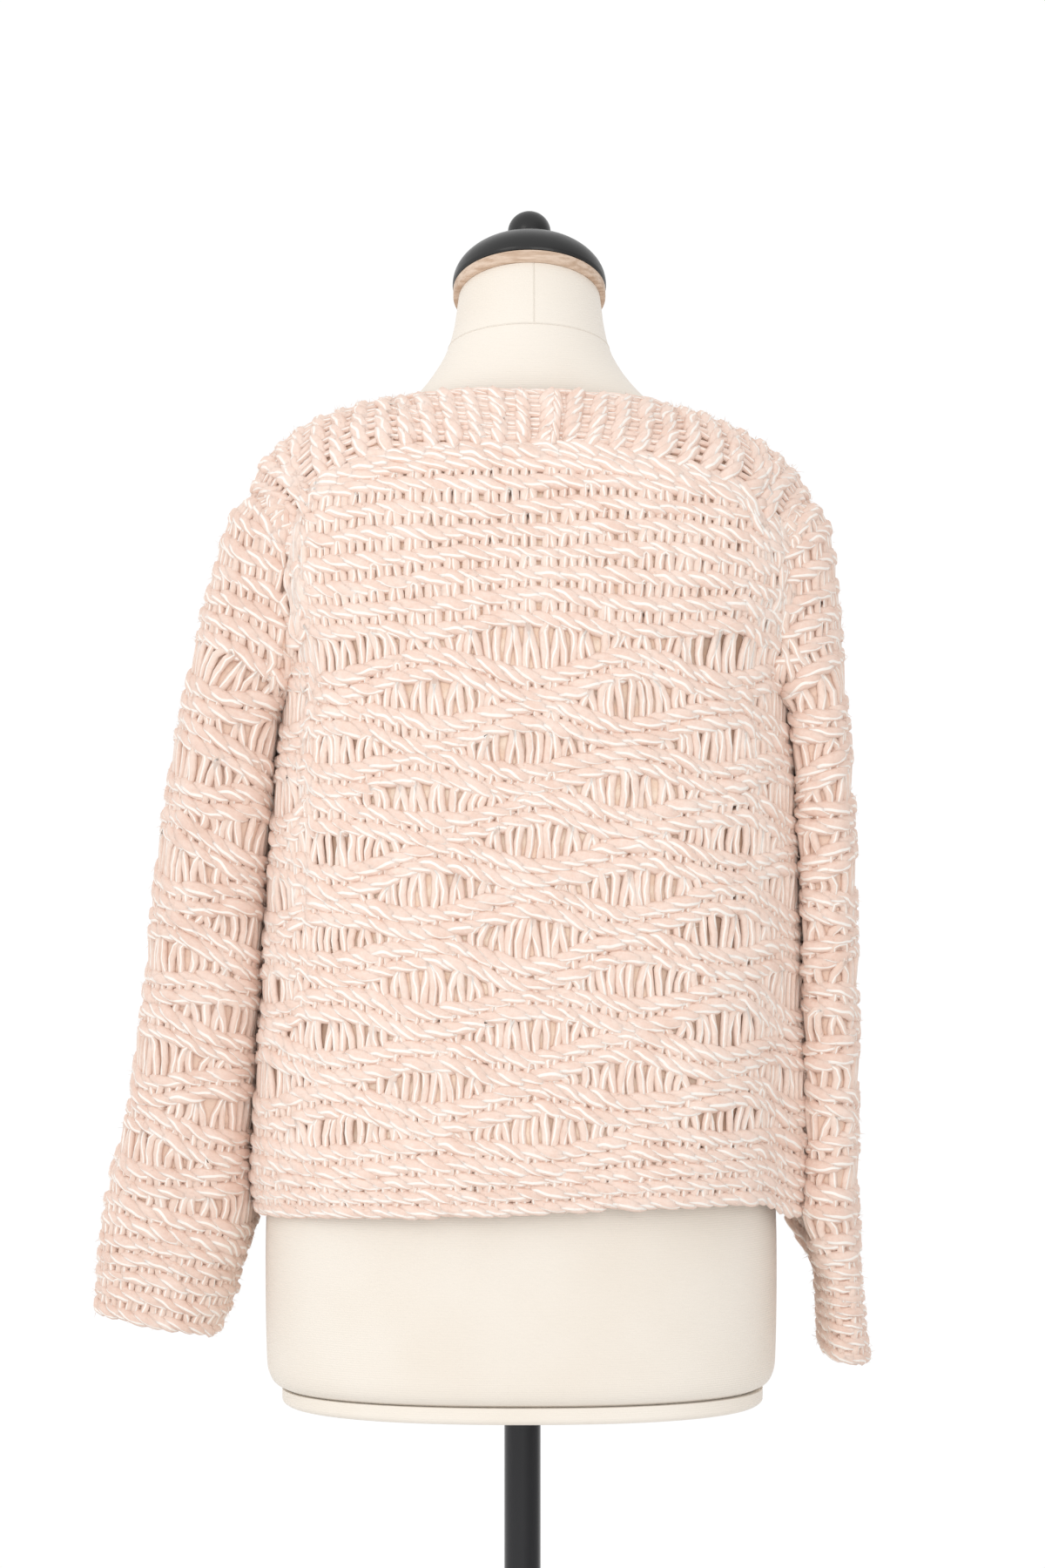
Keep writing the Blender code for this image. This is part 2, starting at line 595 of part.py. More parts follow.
def turned(name, profile, sides, material, place, tilt):
    """A turned body: the profile runs down its outer side at +X and is swept round the axis."""
    mesh = bpy.data.meshes.new(name)
    points = [(radius, 0, height) for radius, height in profile]
    mesh.from_pydata(points, [(i, i + 1) for i in range(len(points) - 1)], [])
    item = bpy.data.objects.new(name, mesh)
    MODEL.objects.link(item)
    mesh.materials.append(material)
    screw = item.modifiers.new("Turn", "SCREW")
    screw.steps = sides
    screw.render_steps = sides
    screw.use_merge_vertices = True
    screw.merge_threshold = 0.0001
    screw.use_smooth_shade = True
    item.location = place
    item.rotation_euler = (-tilt, 0, 0)
    return item


def arc(middle, radius_x, radius_y, start, end, count):
    """Points of an elliptical arc in a profile, angles in degrees from +X."""
    angles = np.radians(np.linspace(start, end, count))
    return [(middle[0] + radius_x * math.cos(a), middle[1] + radius_y * math.sin(a)) for a in angles]


def build_collar(material):
    """Bare wooden ring on top of the neck."""
    radius = COLLAR_RADIUS
    edge = COLLAR_EDGE
    top = COLLAR_THICKNESS
    profile = [(0, top), (radius - edge, top), (radius, top - edge)]
    profile += [(radius, edge), (radius - edge, 0), (0, 0)]
    place = along_neck(PART_GAP)
    return turned("neck_wood_ring", profile, NECK_PARTS_SIDES, material, place, NECK_TILT)


def along_neck(distance):
    """A point on the neck's tilted axis, the given distance above the top of the neck."""
    x, y, z = NECK_TOP
    return (x, y + distance * math.sin(NECK_TILT), z + distance * math.cos(NECK_TILT))


def build_cap(material):
    """Turned cap of the neck: a shallow dome with a ball knob, in one piece."""
    middle = (0, CAP_LIP + CAP_HEIGHT + KNOB_CENTRE)
    ball = arc(middle, KNOB_RADIUS, KNOB_RADIUS, 90, -KNOB_LOW_END, 8)
    ball[0] = (0, ball[0][1])
    dome_start = math.degrees(math.acos(ball[-1][0] / CAP_RADIUS))
    dome = arc((0, CAP_LIP), CAP_RADIUS, CAP_HEIGHT, dome_start, 0, 7)
    foot = [(CAP_RADIUS, CAP_LIP / 2), (CAP_RADIUS - CAP_EDGE, 0), (0, 0)]
    place = along_neck(COLLAR_THICKNESS + 2 * PART_GAP)
    profile = ball + dome + foot
    return turned("neck_cap", profile, NECK_PARTS_SIDES, material, place, NECK_TILT)


def build_stand(pole_material, foot_material):
    """Pole under the form, and a plain round foot with a hub."""
    low = FOOT_HEIGHT + HUB_HEIGHT + PART_GAP
    high = RIM_BOTTOM - PART_GAP
    bpy.ops.mesh.primitive_cylinder_add(
        vertices=POLE_SIDES, radius=POLE_RADIUS, depth=high - low, location=(0, 0, (low + high) / 2))
    pole = bpy.context.active_object
    pole.name = "stand_pole"
    pole.data.materials.append(pole_material)
    pole.data.shade_smooth()
    pole.data.set_sharp_from_angle(angle=math.radians(40))
    for collection in pole.users_collection:
        collection.objects.unlink(pole)
    MODEL.objects.link(pole)
    top = FOOT_HEIGHT
    hub_top = top + HUB_HEIGHT
    profile = [(0, hub_top), (HUB_RADIUS - HUB_EDGE, hub_top), (HUB_RADIUS, hub_top - HUB_EDGE)]
    profile += [(HUB_RADIUS, top + HUB_FILLET), (HUB_RADIUS + HUB_FILLET, top)]
    profile += arc((FOOT_RADIUS - FOOT_EDGE, top - FOOT_EDGE), FOOT_EDGE, FOOT_EDGE, 90, 0, 4)
    profile += [(FOOT_RADIUS, 0), (0, 0)]
    turned("stand_foot", profile, FOOT_SIDES, foot_material, (0, 0, 0), 0)


def clear_scene():
    """Removes the objects that the file opened with."""
    for item in list(bpy.data.objects):
        bpy.data.objects.remove(item, do_unlink=True)


def build():
    """Makes every piece of the garment, the form and the stand."""
    colour = (0.86, 0.66, 0.55)
    for side, end in ((-1, "back"), (1, "front")):
        panel = panel_grid(side)
        band = band_grid(side, panel)
        whole = np.concatenate([band[:-1], panel])
        away = normals(whole, np.array([0.01, 0, 1.1]))
        panel_normal = away[FINE_BAND_ROWS - 1:]
        band_normal = away[:FINE_BAND_ROWS]
        material = make_material("yarn_" + end, colour, 0.9)
        build_panel(end + "_panel", side, panel, panel_normal, material)
        material = make_material("yarn_band_" + end, colour, 0.9)
        build_band("band_" + end, side, band, band_normal, material)
    build_sleeve("sleeve_left", LEFT_SLEEVE, make_material("yarn_sleeve_left", colour, 0.9))
    build_sleeve("sleeve_right", RIGHT_SLEEVE, make_material("yarn_sleeve_right", colour, 0.9))
    build_form(make_material("ivory_cover", (0.93, 0.87, 0.78), 0.8))
    build_rim(make_material("ivory_board_cover", (0.90, 0.83, 0.73), 0.8))
    build_collar(make_material("pale_wood", (0.60, 0.40, 0.26), 0.6))
    build_cap(make_material("black_satin", (0.02, 0.02, 0.02), 0.35))
    build_stand(
        make_material("black_gloss", (0.015, 0.015, 0.017), 0.15),
        make_material("black_foot", (0.02, 0.02, 0.022), 0.4))


clear_scene()
MODEL = bpy.data.collections.new("knit_sweater_on_dress_form")
bpy.context.scene.collection.children.link(MODEL)
build()
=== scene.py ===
"""Knit sweater on a dress form, modelled stitch by stitch over the CAD frame.

Metres, +Z up, in the frame's own coordinates. The back of the garment looks along -Y.
Every yarn piece is many tubes joined in one mesh, worked out with whole arrays.
"""
import math

import bmesh
import bpy
import numpy as np
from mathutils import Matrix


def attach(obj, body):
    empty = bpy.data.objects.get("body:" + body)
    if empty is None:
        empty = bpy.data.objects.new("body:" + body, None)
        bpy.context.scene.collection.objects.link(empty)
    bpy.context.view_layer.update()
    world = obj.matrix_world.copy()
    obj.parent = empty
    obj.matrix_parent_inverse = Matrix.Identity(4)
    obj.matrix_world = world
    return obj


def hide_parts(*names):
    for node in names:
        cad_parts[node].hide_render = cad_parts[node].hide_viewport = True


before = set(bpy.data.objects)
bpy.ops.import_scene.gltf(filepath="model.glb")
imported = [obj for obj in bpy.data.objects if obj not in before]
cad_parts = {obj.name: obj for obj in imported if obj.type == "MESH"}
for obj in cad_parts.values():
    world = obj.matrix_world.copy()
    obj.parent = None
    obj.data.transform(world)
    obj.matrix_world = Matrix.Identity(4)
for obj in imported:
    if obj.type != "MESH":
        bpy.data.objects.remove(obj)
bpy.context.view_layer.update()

# Walls of the cloth, and the grids it is worked out on
SEAM_GAP = 0.0004
WALL = 0.0050
RIDGE = 0.0035
BACKING_LIFT = 0.0026
FINE_COLUMNS = 121
FINE_BAND_ROWS = 17
FINE_PANEL_ROWS = 141
FINE_SLEEVE_COLUMNS = 97
STEEPEST = 2.5
BAND_LEAN = 0.75

# Armholes, and the sleeves that are sewn into them
UNDERARM = 1.2240
ARMHOLE_MIDDLE = 1.2880
ARMHOLE_HALF_HEIGHT = 0.0640
ARMHOLE_HALF_DEPTH = 0.0680
ARMHOLE_SQUARENESS = 2.3
ARMHOLE_OVERLAP = 0.0035
BESIDE_X = 0.12
LEFT_SEAM_X = -0.1660
RIGHT_SEAM_X = 0.1800
SLEEVE_ROUNDNESS = 2.3
CAP_SQUARENESS = 3.2
NEAR_SQUARENESS = 3.0
CAP_FOOT = 1.190
CAP_FADE = 0.040
CAP_FLARE = 0.0075
CAP_REACH = 0.0300
SLEEVE_ROW_DROP = 0.032

# Where a sleeve rests against the body
SIDE_CONTACT = -0.0050
CONTACT_FOOT = 0.795
CONTACT_FOOT_FADE = 0.04
CONTACT_TOP = 1.222
CONTACT_TOP_FADE = 0.02

# Flat widths that the bands were cut to, which the shapes do not use
BAND_CUT_BACK = 0.075
BAND_CUT_FRONT = 0.093

# Rows of the knit: distances down it, and how far its waves swing
PLAIN_PITCH = 0.0170
HEM_PITCH = 0.0118
LENS_PITCH = 0.0334
SLEEVE_LENS_PITCH = 0.0350
PAIR_SPREAD = 0.0126
LENS_SWING = 0.0064
EARLY_SWING = 0.2
LAST_SWING = 0.4
HEM_INSET = 0.0032
FIRST_ROW = 0.0155
SEAM_ROWS = 0.0230
SEAM_FOLLOW = 0.45
SEAM_FOLLOW_REACH = 0.090
ROW_LEVELS = 241
ROW_MARGIN = 0.0300
EDGE_FADE = 0.04
OVERHANG = 0.004
BAND_SEAM = 0.53
SLEEVE_WAVE_SHIFT = 0.25

# Counts of stitches, rows, fibres and locks
PANEL_STITCHES = 41
SLEEVE_STITCHES = 24
BAND_STITCHES = 6
CHAIN_STITCHES = 38
STITCHES_A_WAVE = 11
TOP_RIDGES = 8
BACK_LENS_ROWS = 11
FRONT_LENS_ROWS = 10
SLEEVE_LENS_ROWS = 12
BAND_RIDGES = 28
BACK_FIBRES = 5000
FRONT_FIBRES = 1500
BAND_FIBRES = 1000
SLEEVE_FIBRES = 2000
ARMHOLE_LOCKS = 160

# Loops, legs, fibres and locks of yarn
LOOP_STEPS = 8
LOOP_HALF_LENGTH = 1.15
LOOP_FLATNESS = 0.80
LEG_SPREAD = 0.27
LEG_FLATNESS = 0.85
LEG_TOP = 0.0015
LEG_FOOT = 0.0005
LEG_LIFT = 0.0028
LEG_ARCH = 0.0008
LEG_BULGE = 0.0010
FULL_LEG = 0.020
BAND_LEG_RADIUS = 0.0029
CHAIN_RADIUS = 0.0022
NAP_RADIUS = 0.00024
NAP_SCATTER = 0.0035
NAP_LIFT = 0.0062
NAP_LENGTH = 0.0030
OFF_THREAD = 0.6
LOCK_STEPS = 7
LOCK_RADIUS = 0.0030
LOCK_DEPTH = 0.15
LOCK_TOP = 1.36

# Dress form and stand, as in the frame
FORM_BOTTOM = 0.7125
RIM_BOTTOM = 0.7000
RIM_REACH = 0.0045
PART_GAP = 0.0003
NECK_TILT = math.radians(24)
NECK_TOP = (0.0050, 0.0220, 1.5000)
COLLAR_RADIUS = 0.0555
COLLAR_THICKNESS = 0.0085
COLLAR_EDGE = 0.0012
CAP_RADIUS = 0.0560
CAP_HEIGHT = 0.0335
CAP_LIP = 0.0030
KNOB_RADIUS = 0.0158
KNOB_CENTRE = 0.0110
KNOB_LOW_END = 33.4
POLE_RADIUS = 0.0132
FOOT_RADIUS = 0.1650
FOOT_HEIGHT = 0.0120
FOOT_EDGE = 0.0040
HUB_RADIUS = 0.0260
HUB_HEIGHT = 0.0280
HUB_EDGE = 0.0040
HUB_FILLET = 0.0060
NECK_SEAM = 1.4610
SEAM_STEPS = 97
SEAM_THREAD = 0.0006
FORM_SIDES = 128
FORM_ROUNDED = 0.735
JERSEY_ROW = 0.0016

# Camera: the picture is 1.134 m tall at the pole's distance
CAMERA_DISTANCE = 3.0
CAMERA_HEIGHT = 1.147
PICTURE_HEIGHT = 1.134
SENSOR = 36


def table(columns, *rows):
    """A table with named columns, as a dictionary of arrays."""
    return dict(zip(columns.split(), np.array(rows, dtype=float).T))


BODY = table(
    "height half_width back front middle squareness",
    (0.838, 0.1895, 0.133, 0.135, 0.004, 2.3),
    (0.87, 0.194, 0.134, 0.136, 0.0045, 2.3),
    (0.93, 0.1925, 0.133, 0.1365, 0.006, 2.35),
    (1, 0.1885, 0.131, 0.137, 0.0075, 2.4),
    (1.08, 0.186, 0.1285, 0.14, 0.009, 2.45),
    (1.15, 0.182, 0.126, 0.143, 0.01, 2.5),
    (1.22, 0.177, 0.124, 0.144, 0.01, 2.55),
    (1.26, 0.182, 0.122, 0.141, 0.0105, 2.6),
    (1.3, 0.188, 0.1175, 0.133, 0.011, 2.6),
    (1.33, 0.187, 0.111, 0.123, 0.0115, 2.6),
    (1.36, 0.18, 0.102, 0.111, 0.012, 2.6),
    (1.39, 0.17, 0.09, 0.098, 0.012, 2.6),
)

EDGES = table(
    "along back_seam front_seam hem",
    (0, 1.325, 1.323, 0.8455),
    (0.07, 1.338, 1.33, 0.8425),
    (0.15, 1.359, 1.342, 0.844),
    (0.28, 1.379, 1.353, 0.847),
    (0.5, 1.382, 1.35, 0.851),
    (0.65, 1.376, 1.35, 0.855),
    (0.82, 1.356, 1.341, 0.854),
    (0.92, 1.337, 1.329, 0.841),
    (1, 1.32, 1.318, 0.846),
)

SHOULDER = table(
    "along x back_depth back_height front_depth front_height",
    (0, -0.191, 0, 1.353, 0, 1.353),
    (0.05, -0.183, 0, 1.3735, 0, 1.3735),
    (0.12, -0.16, 0, 1.3965, 0, 1.3965),
    (0.2, -0.128, 0, 1.4115, 0, 1.4115),
    (0.27, -0.098, 0, 1.4185, 0, 1.4185),
    (0.33, -0.074, 0.038, 1.4205, 0.042, 1.411),
    (0.41, -0.037, 0.061, 1.4215, 0.068, 1.401),
    (0.5, 0.009, 0.067, 1.421, 0.076, 1.3965),
    (0.59, 0.055, 0.061, 1.419, 0.069, 1.398),
    (0.67, 0.09, 0.039, 1.416, 0.043, 1.4075),
    (0.73, 0.113, 0, 1.412, 0, 1.412),
    (0.8, 0.14, 0, 1.403, 0, 1.403),
    (0.88, 0.17, 0, 1.387, 0, 1.387),
    (0.95, 0.193, 0, 1.367, 0, 1.367),
    (1, 0.203, 0, 1.348, 0, 1.348),
)

FOLDS = table(
    "side along down reach_along reach_down depth",
    (-1, 0.86, 0.86, 0.045, 0.22, -0.006),
    (-1, 0.94, 0.9, 0.04, 0.2, 0.0045),
    (-1, 0.1, 0.55, 0.05, 0.3, 0.003),
    (-1, 0.16, 0.88, 0.05, 0.18, -0.0035),
    (-1, 0.72, 0.8, 0.05, 0.2, 0.0035),
    (1, 0.2, 0.8, 0.055, 0.25, -0.006),
    (1, 0.34, 0.86, 0.05, 0.2, 0.005),
    (1, 0.66, 0.84, 0.05, 0.22, 0.0045),
    (1, 0.8, 0.78, 0.055, 0.25, -0.0055),
)

UNEVEN = table(
    "cycles falls phase size",
    (1, 2.3, 5, 0.0015),
    (2, 3.3, 0.4, 0.0013),
    (3, -5.1, 1.9, 0.0012),
    (5, 7.7, 3.1, 0.0008),
)

LEFT_SLEEVE = table(
    "outer_x outer_z inner_x inner_z depth middle_y",
    (-0.172, 1.351, -0.16, 1.2285, 0.067, 0),
    (-0.203, 1.347, -0.18, 1.2265, 0.068, 0),
    (-0.224, 1.3, -0.184, 1.195, 0.068, 0),
    (-0.238, 1.244, -0.184, 1.156, 0.068, 0),
    (-0.252, 1.18, -0.1845, 1.12, 0.066, 0.002),
    (-0.2655, 1.09, -0.1864, 1.055, 0.064, 0.004),
    (-0.2765, 0.99, -0.193, 0.97, 0.062, 0.006),
    (-0.289, 0.905, -0.1995, 0.89, 0.06, 0.008),
    (-0.302, 0.855, -0.201, 0.84, 0.057, 0.01),
    (-0.31, 0.8, -0.205, 0.785, 0.054, 0.012),
    (-0.311, 0.77, -0.218, 0.75, 0.052, 0.012),
)

RIGHT_SLEEVE = table(
    "outer_x outer_z inner_x inner_z depth middle_y",
    (0.186, 1.3465, 0.176, 1.229, 0.0665, 0),
    (0.213, 1.343, 0.1975, 1.227, 0.0685, 0),
    (0.227, 1.29, 0.199, 1.195, 0.073, 0.002),
    (0.232, 1.23, 0.201, 1.164, 0.077, 0.004),
    (0.2365, 1.17, 0.204, 1.135, 0.079, 0.006),
    (0.241, 1.09, 0.2045, 1.075, 0.08, 0.008),
    (0.243, 1, 0.2055, 0.995, 0.08, 0.01),
    (0.2435, 0.92, 0.208, 0.917, 0.079, 0.012),
    (0.244, 0.845, 0.2095, 0.844, 0.077, 0.014),
    (0.2465, 0.782, 0.2125, 0.783, 0.074, 0.016),
    (0.252, 0.729, 0.2155, 0.743, 0.07, 0.018),
)

FORM = table(
    "height half_width half_depth middle_x middle_y tilt squareness",
    (0.7125, 0.169, 0.109, -0.001, 0, 0, 2.3),
    (0.716, 0.1765, 0.1165, -0.001, 0, 0, 2.3),
    (0.723, 0.1815, 0.121, -0.001, 0, 0, 2.3),
    (0.735, 0.1835, 0.1225, -0.001, 0, 0, 2.3),
    (0.8, 0.1845, 0.1235, -0.001, 0, 0, 2.3),
    (0.86, 0.183, 0.1225, -0.001, 0, 0, 2.3),
    (0.92, 0.173, 0.114, 0, 0.001, 0, 2.25),
    (0.98, 0.152, 0.101, 0, 0.002, 0, 2.2),
    (1.04, 0.137, 0.092, 0.001, 0.003, 0, 2.15),
    (1.1, 0.137, 0.096, 0.002, 0.005, 0, 2.15),
    (1.16, 0.145, 0.108, 0.003, 0.008, 0, 2.2),
    (1.22, 0.152, 0.116, 0.004, 0.009, 0, 2.3),
    (1.27, 0.156, 0.111, 0.005, 0.007, 0, 2.35),
    (1.31, 0.159, 0.101, 0.006, 0.005, 0, 2.35),
    (1.345, 0.158, 0.089, 0.006, 0.003, 0, 2.3),
    (1.37, 0.147, 0.079, 0.006, 0.002, 0, 2.25),
    (1.39, 0.128, 0.066, 0.006, -0.002, 0, 2.15),
    (1.405, 0.1095, 0.058, 0.005, -0.003, 0, 2.05),
    (1.418, 0.0925, 0.055, 0.005, -0.002, 2, 2),
    (1.43, 0.079, 0.055, 0.005, 0, 5, 2),
    (1.442, 0.069, 0.055, 0.0045, 0.004, 9, 2),
    (1.456, 0.0605, 0.0545, 0.0045, 0.008, 14, 2),
    (1.472, 0.0555, 0.0535, 0.0048, 0.013, 19, 2),
    (1.5, 0.0515, 0.0515, 0.005, 0.022, 24, 2),
)


def smooth(rows, column, key, at):
    """A named column at the given keys, on a curve through the rows that never overshoots."""
    x = rows[key]
    y = rows[column]
    step = np.diff(x)
    slope = np.diff(y) / step
    tangent = np.concatenate([slope[:1], (slope[:-1] + slope[1:]) / 2, slope[-1:]])
    turning = slope[:-1] * slope[1:] <= 0
    tangent[1:-1][turning] = 0
    limit = STEEPEST * np.minimum(np.abs(slope[:-1]), np.abs(slope[1:]))
    tangent[1:-1] = np.clip(tangent[1:-1], -limit, limit)
    at = np.clip(at, x[0], x[-1])
    i = np.clip(np.searchsorted(x, at) - 1, 0, len(step) - 1)
    t = (at - x[i]) / step[i]
    rise = t * t * (3 - 2 * t)
    start = t * (1 - t) ** 2 * step[i] * tangent[i]
    end = -t * t * (1 - t) * step[i] * tangent[i + 1]
    return y[i] * (1 - rise) + y[i + 1] * rise + start + end


def superellipse(angle, half_width, half_depth, squareness):
    """Points of a rounded oval: the powers of cosine and sine make its corners fuller."""
    c = np.cos(angle)
    s = np.sin(angle)
    x = half_width * np.sign(c) * np.abs(c) ** (2 / squareness)
    y = half_depth * np.sign(s) * np.abs(s) ** (2 / squareness)
    return x, y


def armhole_reach(height):
    """How far an armhole reaches to the back and to the front of its middle at a height."""
    lift = np.abs(height - ARMHOLE_MIDDLE) / ARMHOLE_HALF_HEIGHT
    full = np.clip(1 - lift ** ARMHOLE_SQUARENESS, 0, 1)
    return np.where(height > UNDERARM, ARMHOLE_HALF_DEPTH * full ** (1 / ARMHOLE_SQUARENESS), 0)


def body_point(side, spread, height, cut=1):
    """Inner face of the body; spread runs from 0 at the left seam to 1 at the right one.

    With cut 0 the armholes are left out, so it runs from side to side at every height.
    """
    half_width, half_depth, squareness, middle = [
        smooth(BODY, key, "height", height)
        for key in ("half_width", "back" if side < 0 else "front", "squareness", "middle")]
    reach = cut * armhole_reach(height)
    first = np.arcsin(np.clip(reach / half_depth, 0, 1) ** (squareness / 2))
    angle = first + (math.pi - 2 * first) * (1 - spread)
    x, y = superellipse(angle, half_width, half_depth, squareness)
    return np.stack([x + middle, side * (y + SEAM_GAP / 2), height], axis=-1)


def distances(points, axis=0):
    """Distance run along lines of points, 0 at the first point of each."""
    steps = np.linalg.norm(np.diff(points, axis=axis), axis=-1)
    return np.insert(steps.cumsum(axis=axis), 0, 0, axis=axis)


def length_of(line):
    """Length of one line of points."""
    return np.linalg.norm(np.diff(line, axis=0), axis=1).sum()


def spaced_evenly(points, wanted):
    """For each row of points, the parameter at which each wanted share of its length comes."""
    even = np.linspace(0, 1, points.shape[1])
    return np.array([np.interp(wanted, row / row[-1], even) for row in distances(points, 1)])


def fold_depth(side, along, down):
    """Sum of the soft folds: each a bell along the panel and a longer bell down it."""
    depth = np.zeros_like(along)
    for i in np.flatnonzero(FOLDS["side"] == side):
        across = (along - FOLDS["along"][i]) / FOLDS["reach_along"][i]
        length = (down - FOLDS["down"][i]) / FOLDS["reach_down"][i]
        depth += FOLDS["depth"][i] * np.exp(-across ** 2 - length ** 2)
    return depth


def panel_grid(side):
    """Fine grid of a body panel, from the seam under the band (row 0) to the hem."""
    along = np.linspace(0, 1, FINE_COLUMNS)
    down = np.linspace(0, 1, FINE_PANEL_ROWS)[:, None]
    seam = smooth(EDGES, "back_seam" if side < 0 else "front_seam", "along", along)
    hem = smooth(EDGES, "hem", "along", along)
    height = seam + (hem - seam) * down
    first = body_point(side, np.broadcast_to(along, height.shape), height)
    spread = spaced_evenly(first, along)
    return body_point(side, spread, height)


def unit(vectors):
    """Vectors scaled to length one."""
    return vectors / np.maximum(np.linalg.norm(vectors, axis=-1, keepdims=True), 1e-12)


def band_grid(side, panel):
    """Fine grid of the band, a smooth patch from the shoulder and neck edge to the panel's top."""
    along = np.linspace(0, 1, FINE_COLUMNS)
    end = "back" if side < 0 else "front"
    height = smooth(SHOULDER, end + "_height", "along", along)
    depth = smooth(SHOULDER, end + "_depth", "along", along)
    top = np.stack([
        smooth(SHOULDER, "x", "along", along), side * (depth + SEAM_GAP / 2), height], axis=-1)
    foot = panel[0]
    reach = np.linalg.norm(foot - top, axis=1, keepdims=True)
    below = unit(panel[1] - panel[0])
    outward = np.zeros_like(top)
    outward[:, 1] = side
    open_neck = np.clip(depth / depth.max(), 0, 1)[:, None] ** 0.5
    above = unit(outward * (1 - BAND_LEAN * open_neck) + unit(foot - top) * open_neck)
    t = np.linspace(0, 1, FINE_BAND_ROWS)[:, None, None]
    rise = t * t * (3 - 2 * t)
    bend = t * (1 - t) ** 2 * above * reach - t * t * (1 - t) * below * reach
    return top * (1 - rise) + foot * rise + bend


def normals(points, outward_from):
    """Unit normals of a grid, turned away from the given middle line."""
    across = np.gradient(points, axis=1)
    down = np.gradient(points, axis=0)
    normal = unit(np.cross(across, down))
    flip = np.sign(np.sum(normal * (points - outward_from), axis=-1, keepdims=True).mean())
    return normal * flip


def sample(grid, row, column):
    """Values of a grid at fractional rows and columns, mixed from the four nearest ones."""
    row = np.clip(row, 0, grid.shape[0] - 1)
    column = np.clip(column, 0, grid.shape[1] - 1)
    i = np.minimum(row.astype(int), grid.shape[0] - 2)
    j = np.minimum(column.astype(int), grid.shape[1] - 2)
    a = (row - i)[..., None]
    b = (column - j)[..., None]
    upper = grid[i, j] * (1 - b) + grid[i, j + 1] * b
    lower = grid[i + 1, j] * (1 - b) + grid[i + 1, j + 1] * b
    return upper * (1 - a) + lower * a


def knit_grid(side, panel):
    """The body panel with its armholes filled in, so that its stitches stay in level rows.

    Its top follows the seam of the cut panel, which is given.
    """
    even = np.linspace(0, 1, FINE_COLUMNS)
    down = np.linspace(0, 1, FINE_PANEL_ROWS)[:, None]
    order = np.argsort(panel[0, :, 0])
    seam = panel[0, :, 2]
    hem = smooth(EDGES, "hem", "along", even)
    for _ in range(4):
        height = seam + (hem - seam) * down
        first = body_point(side, np.broadcast_to(even, height.shape), height, 0)
        grid = body_point(side, spaced_evenly(first, even), height, 0)
        seam = np.interp(grid[0, :, 0], panel[0, order, 0], panel[0, order, 2])
    return grid, seam, hem


def in_armhole(points, margin=ARMHOLE_OVERLAP):
    """Which points of the body lie in the opening of an armhole."""
    beside = np.abs(points[..., 0]) > BESIDE_X
    return beside & (np.abs(points[..., 1]) < armhole_reach(points[..., 2]) - margin)


def distance_down(grid):
    """Length of a grid's middle column, from its first row to its last."""
    return length_of(grid[:, grid.shape[1] // 2])


def folded(grid, normal, side):
    """The panel's grid with its soft folds, a sum of bells, moved along its normals."""
    rows, columns = grid.shape[:2]
    along, down = np.meshgrid(np.linspace(0, 1, columns), np.linspace(0, 1, rows))
    return grid + normal * fold_depth(side, along, down)[..., None]


def side_of_body(side, height):
    """Outermost X of the body's knit at a height, on one side."""
    spread = np.full_like(height, 0.0 if side < 0 else 1.0)
    return body_point(-1, spread, height)[:, 0] + side * (WALL + RIDGE + SIDE_CONTACT)


def sleeve_seam_x(side):
    """X of a sleeve's edge where it is sewn to the armhole, for a side or an array of them."""
    return np.where(side < 0, LEFT_SEAM_X, RIGHT_SEAM_X)


def in_sleeve_opening(points):
    """Which points of a sleeve lie inside the armhole seam."""
    seam = np.abs(sleeve_seam_x(points[..., 0]))
    return (points[..., 2] > UNDERARM - 0.002) & (np.abs(points[..., 0]) < seam - 0.0015)


